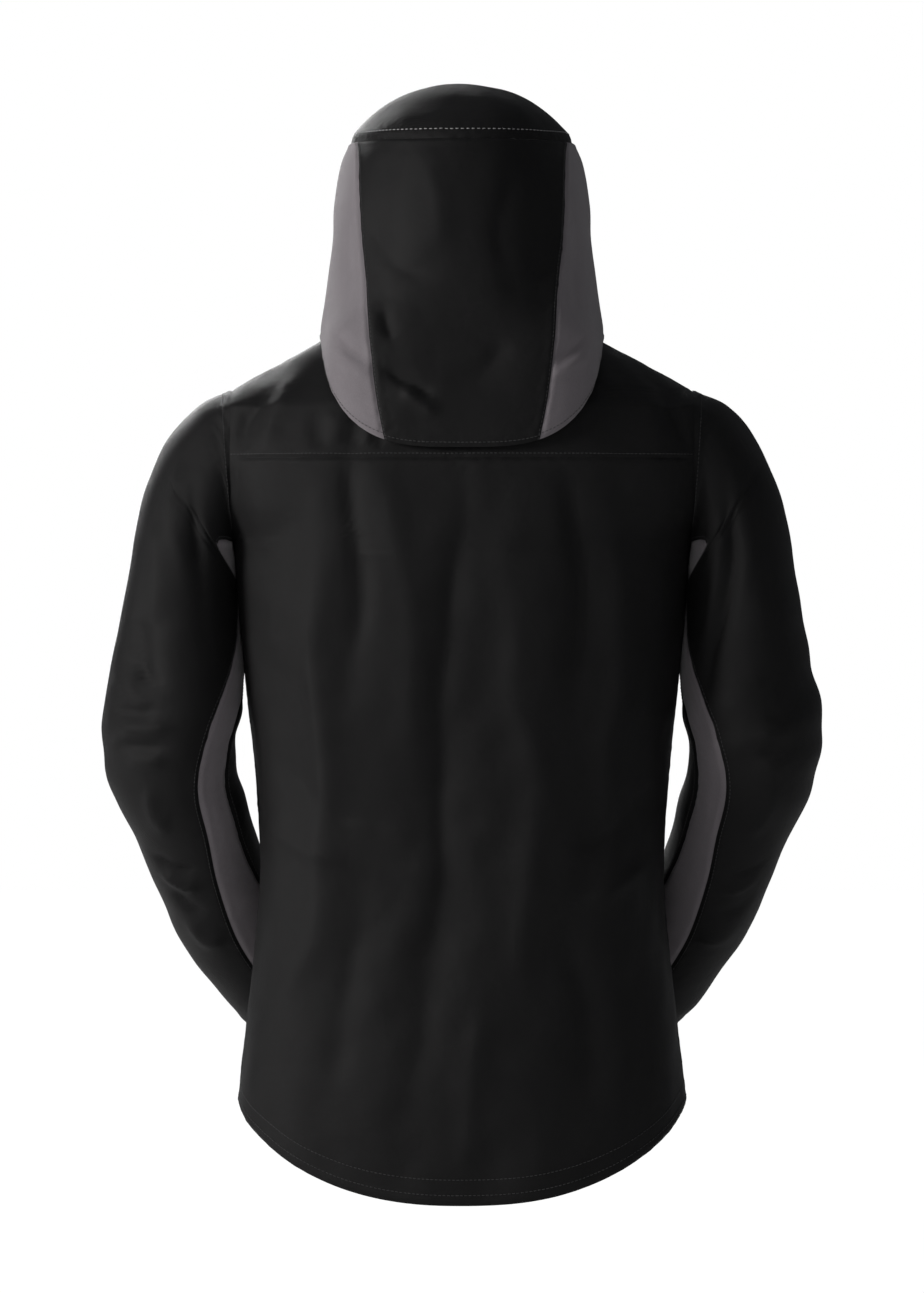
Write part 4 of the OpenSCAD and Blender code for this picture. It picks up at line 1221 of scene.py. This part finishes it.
def build_floor():
    """A pale floor a little below the jacket, which the camera sees as nearly white."""
    bpy.ops.mesh.primitive_plane_add(size=30, location=(0, 0, cad_box[0][2] - FLOOR_DROP))
    floor = bpy.context.object
    floor.name = "floor"
    material, tree, shader = new_material("pale_floor")
    fill(tree, shader, {"Base Color": (0.86, 0.86, 0.86, 1), "Roughness": 0.9})
    seen = times(tree, add_node(tree, "LightPath", {}, "Is Camera Ray"), FLOOR_SEEN)
    glow = add_node(tree, "Emission", {"Strength": FLOOR_GLOW})
    look = add_node(tree, "MixShader", {0: seen, 1: shader.outputs[0], 2: glow})
    tree.links.new(look, tree.nodes["Material Output"].inputs["Surface"])
    floor.data.materials.append(material)


def build_world():
    """A dim bluish world that the camera sees as white."""
    world = bpy.data.worlds.new("studio")
    bpy.context.scene.world = world
    world.use_nodes = True
    tree = world.node_tree
    tree.nodes.clear()
    soft = add_node(tree, "Background", {"Color": (0.93, 0.95, 1.0, 1), "Strength": AMBIENT})
    white = add_node(tree, "Background", {"Color": (1, 1, 1, 1)})
    seen = add_node(tree, "LightPath", {}, "Is Camera Ray")
    out = tree.nodes.new("ShaderNodeOutputWorld")
    tree.links.new(add_node(tree, "MixShader", {0: seen, 1: soft, 2: white}), out.inputs["Surface"])
    bpy.context.scene.view_settings.view_transform = "Standard"


MIDDLE_Z = 521           # height of the picture's middle
TARGET = xyz(0.0, -LOOP_BACK, MIDDLE_Z + ORIGIN[2]) * MM
CAMERA_DISTANCE, PICTURE_HEIGHT = 10.0, 1.2025      # in metres, the second at the jacket
SENSOR = 36              # in mm
# Name, place in metres, power in watts, size in metres, colour
LIGHTS = [
    ("key", (3.4, 1.5, 0.9), 110, 1.2, (1.0, 0.985, 0.97)),
    ("fill", (-2.2, 3.6, 0.8), 8, 2.4, (1, 1, 1)),
    ("camera_fill", (0.6, 4.4, 0.3), 7, 1.0, (1, 1, 1)),
    ("top", (0.8, 0.4, 2.8), 4, 1.6, (1, 1, 1)),
    ("front", (1.2, -4.0, 1.2), 75, 1.6, (1, 1, 1)),
]


def build_camera():
    """A camera straight behind the jacket, as in the photograph."""
    camera = bpy.data.objects.new("camera", bpy.data.cameras.new("camera"))
    bpy.context.scene.collection.objects.link(camera)
    camera.location = TARGET + xyz(0, CAMERA_DISTANCE, 0.0)
    camera.rotation_euler = (math.radians(90), 0, math.radians(180))
    camera.data.sensor_width = SENSOR
    camera.data.lens = SENSOR * CAMERA_DISTANCE / PICTURE_HEIGHT
    bpy.context.scene.camera = camera


def build_lights():
    """A strong light from the picture's left and weaker ones elsewhere."""
    for name, spot, power, size, colour in LIGHTS:
        light = bpy.data.objects.new(name, bpy.data.lights.new(name, "AREA"))
        light.data.energy, light.data.size, light.data.color = power, size, colour
        light.location = spot
        light.rotation_euler = Vector(TARGET - np.array(spot)).to_track_quat("-Z", "Y").to_euler()
        bpy.context.scene.collection.objects.link(light)


build_back()
build_fronts()
build_hood()
build_lock_cords()
build_peak()
build_base_band()
for arm in (LEFT, RIGHT):
    build_sleeve(arm)
    build_cuff(arm)
build_inside()
build_zips()
dress_hardware()
build_floor()
build_camera()
build_lights()
build_world()
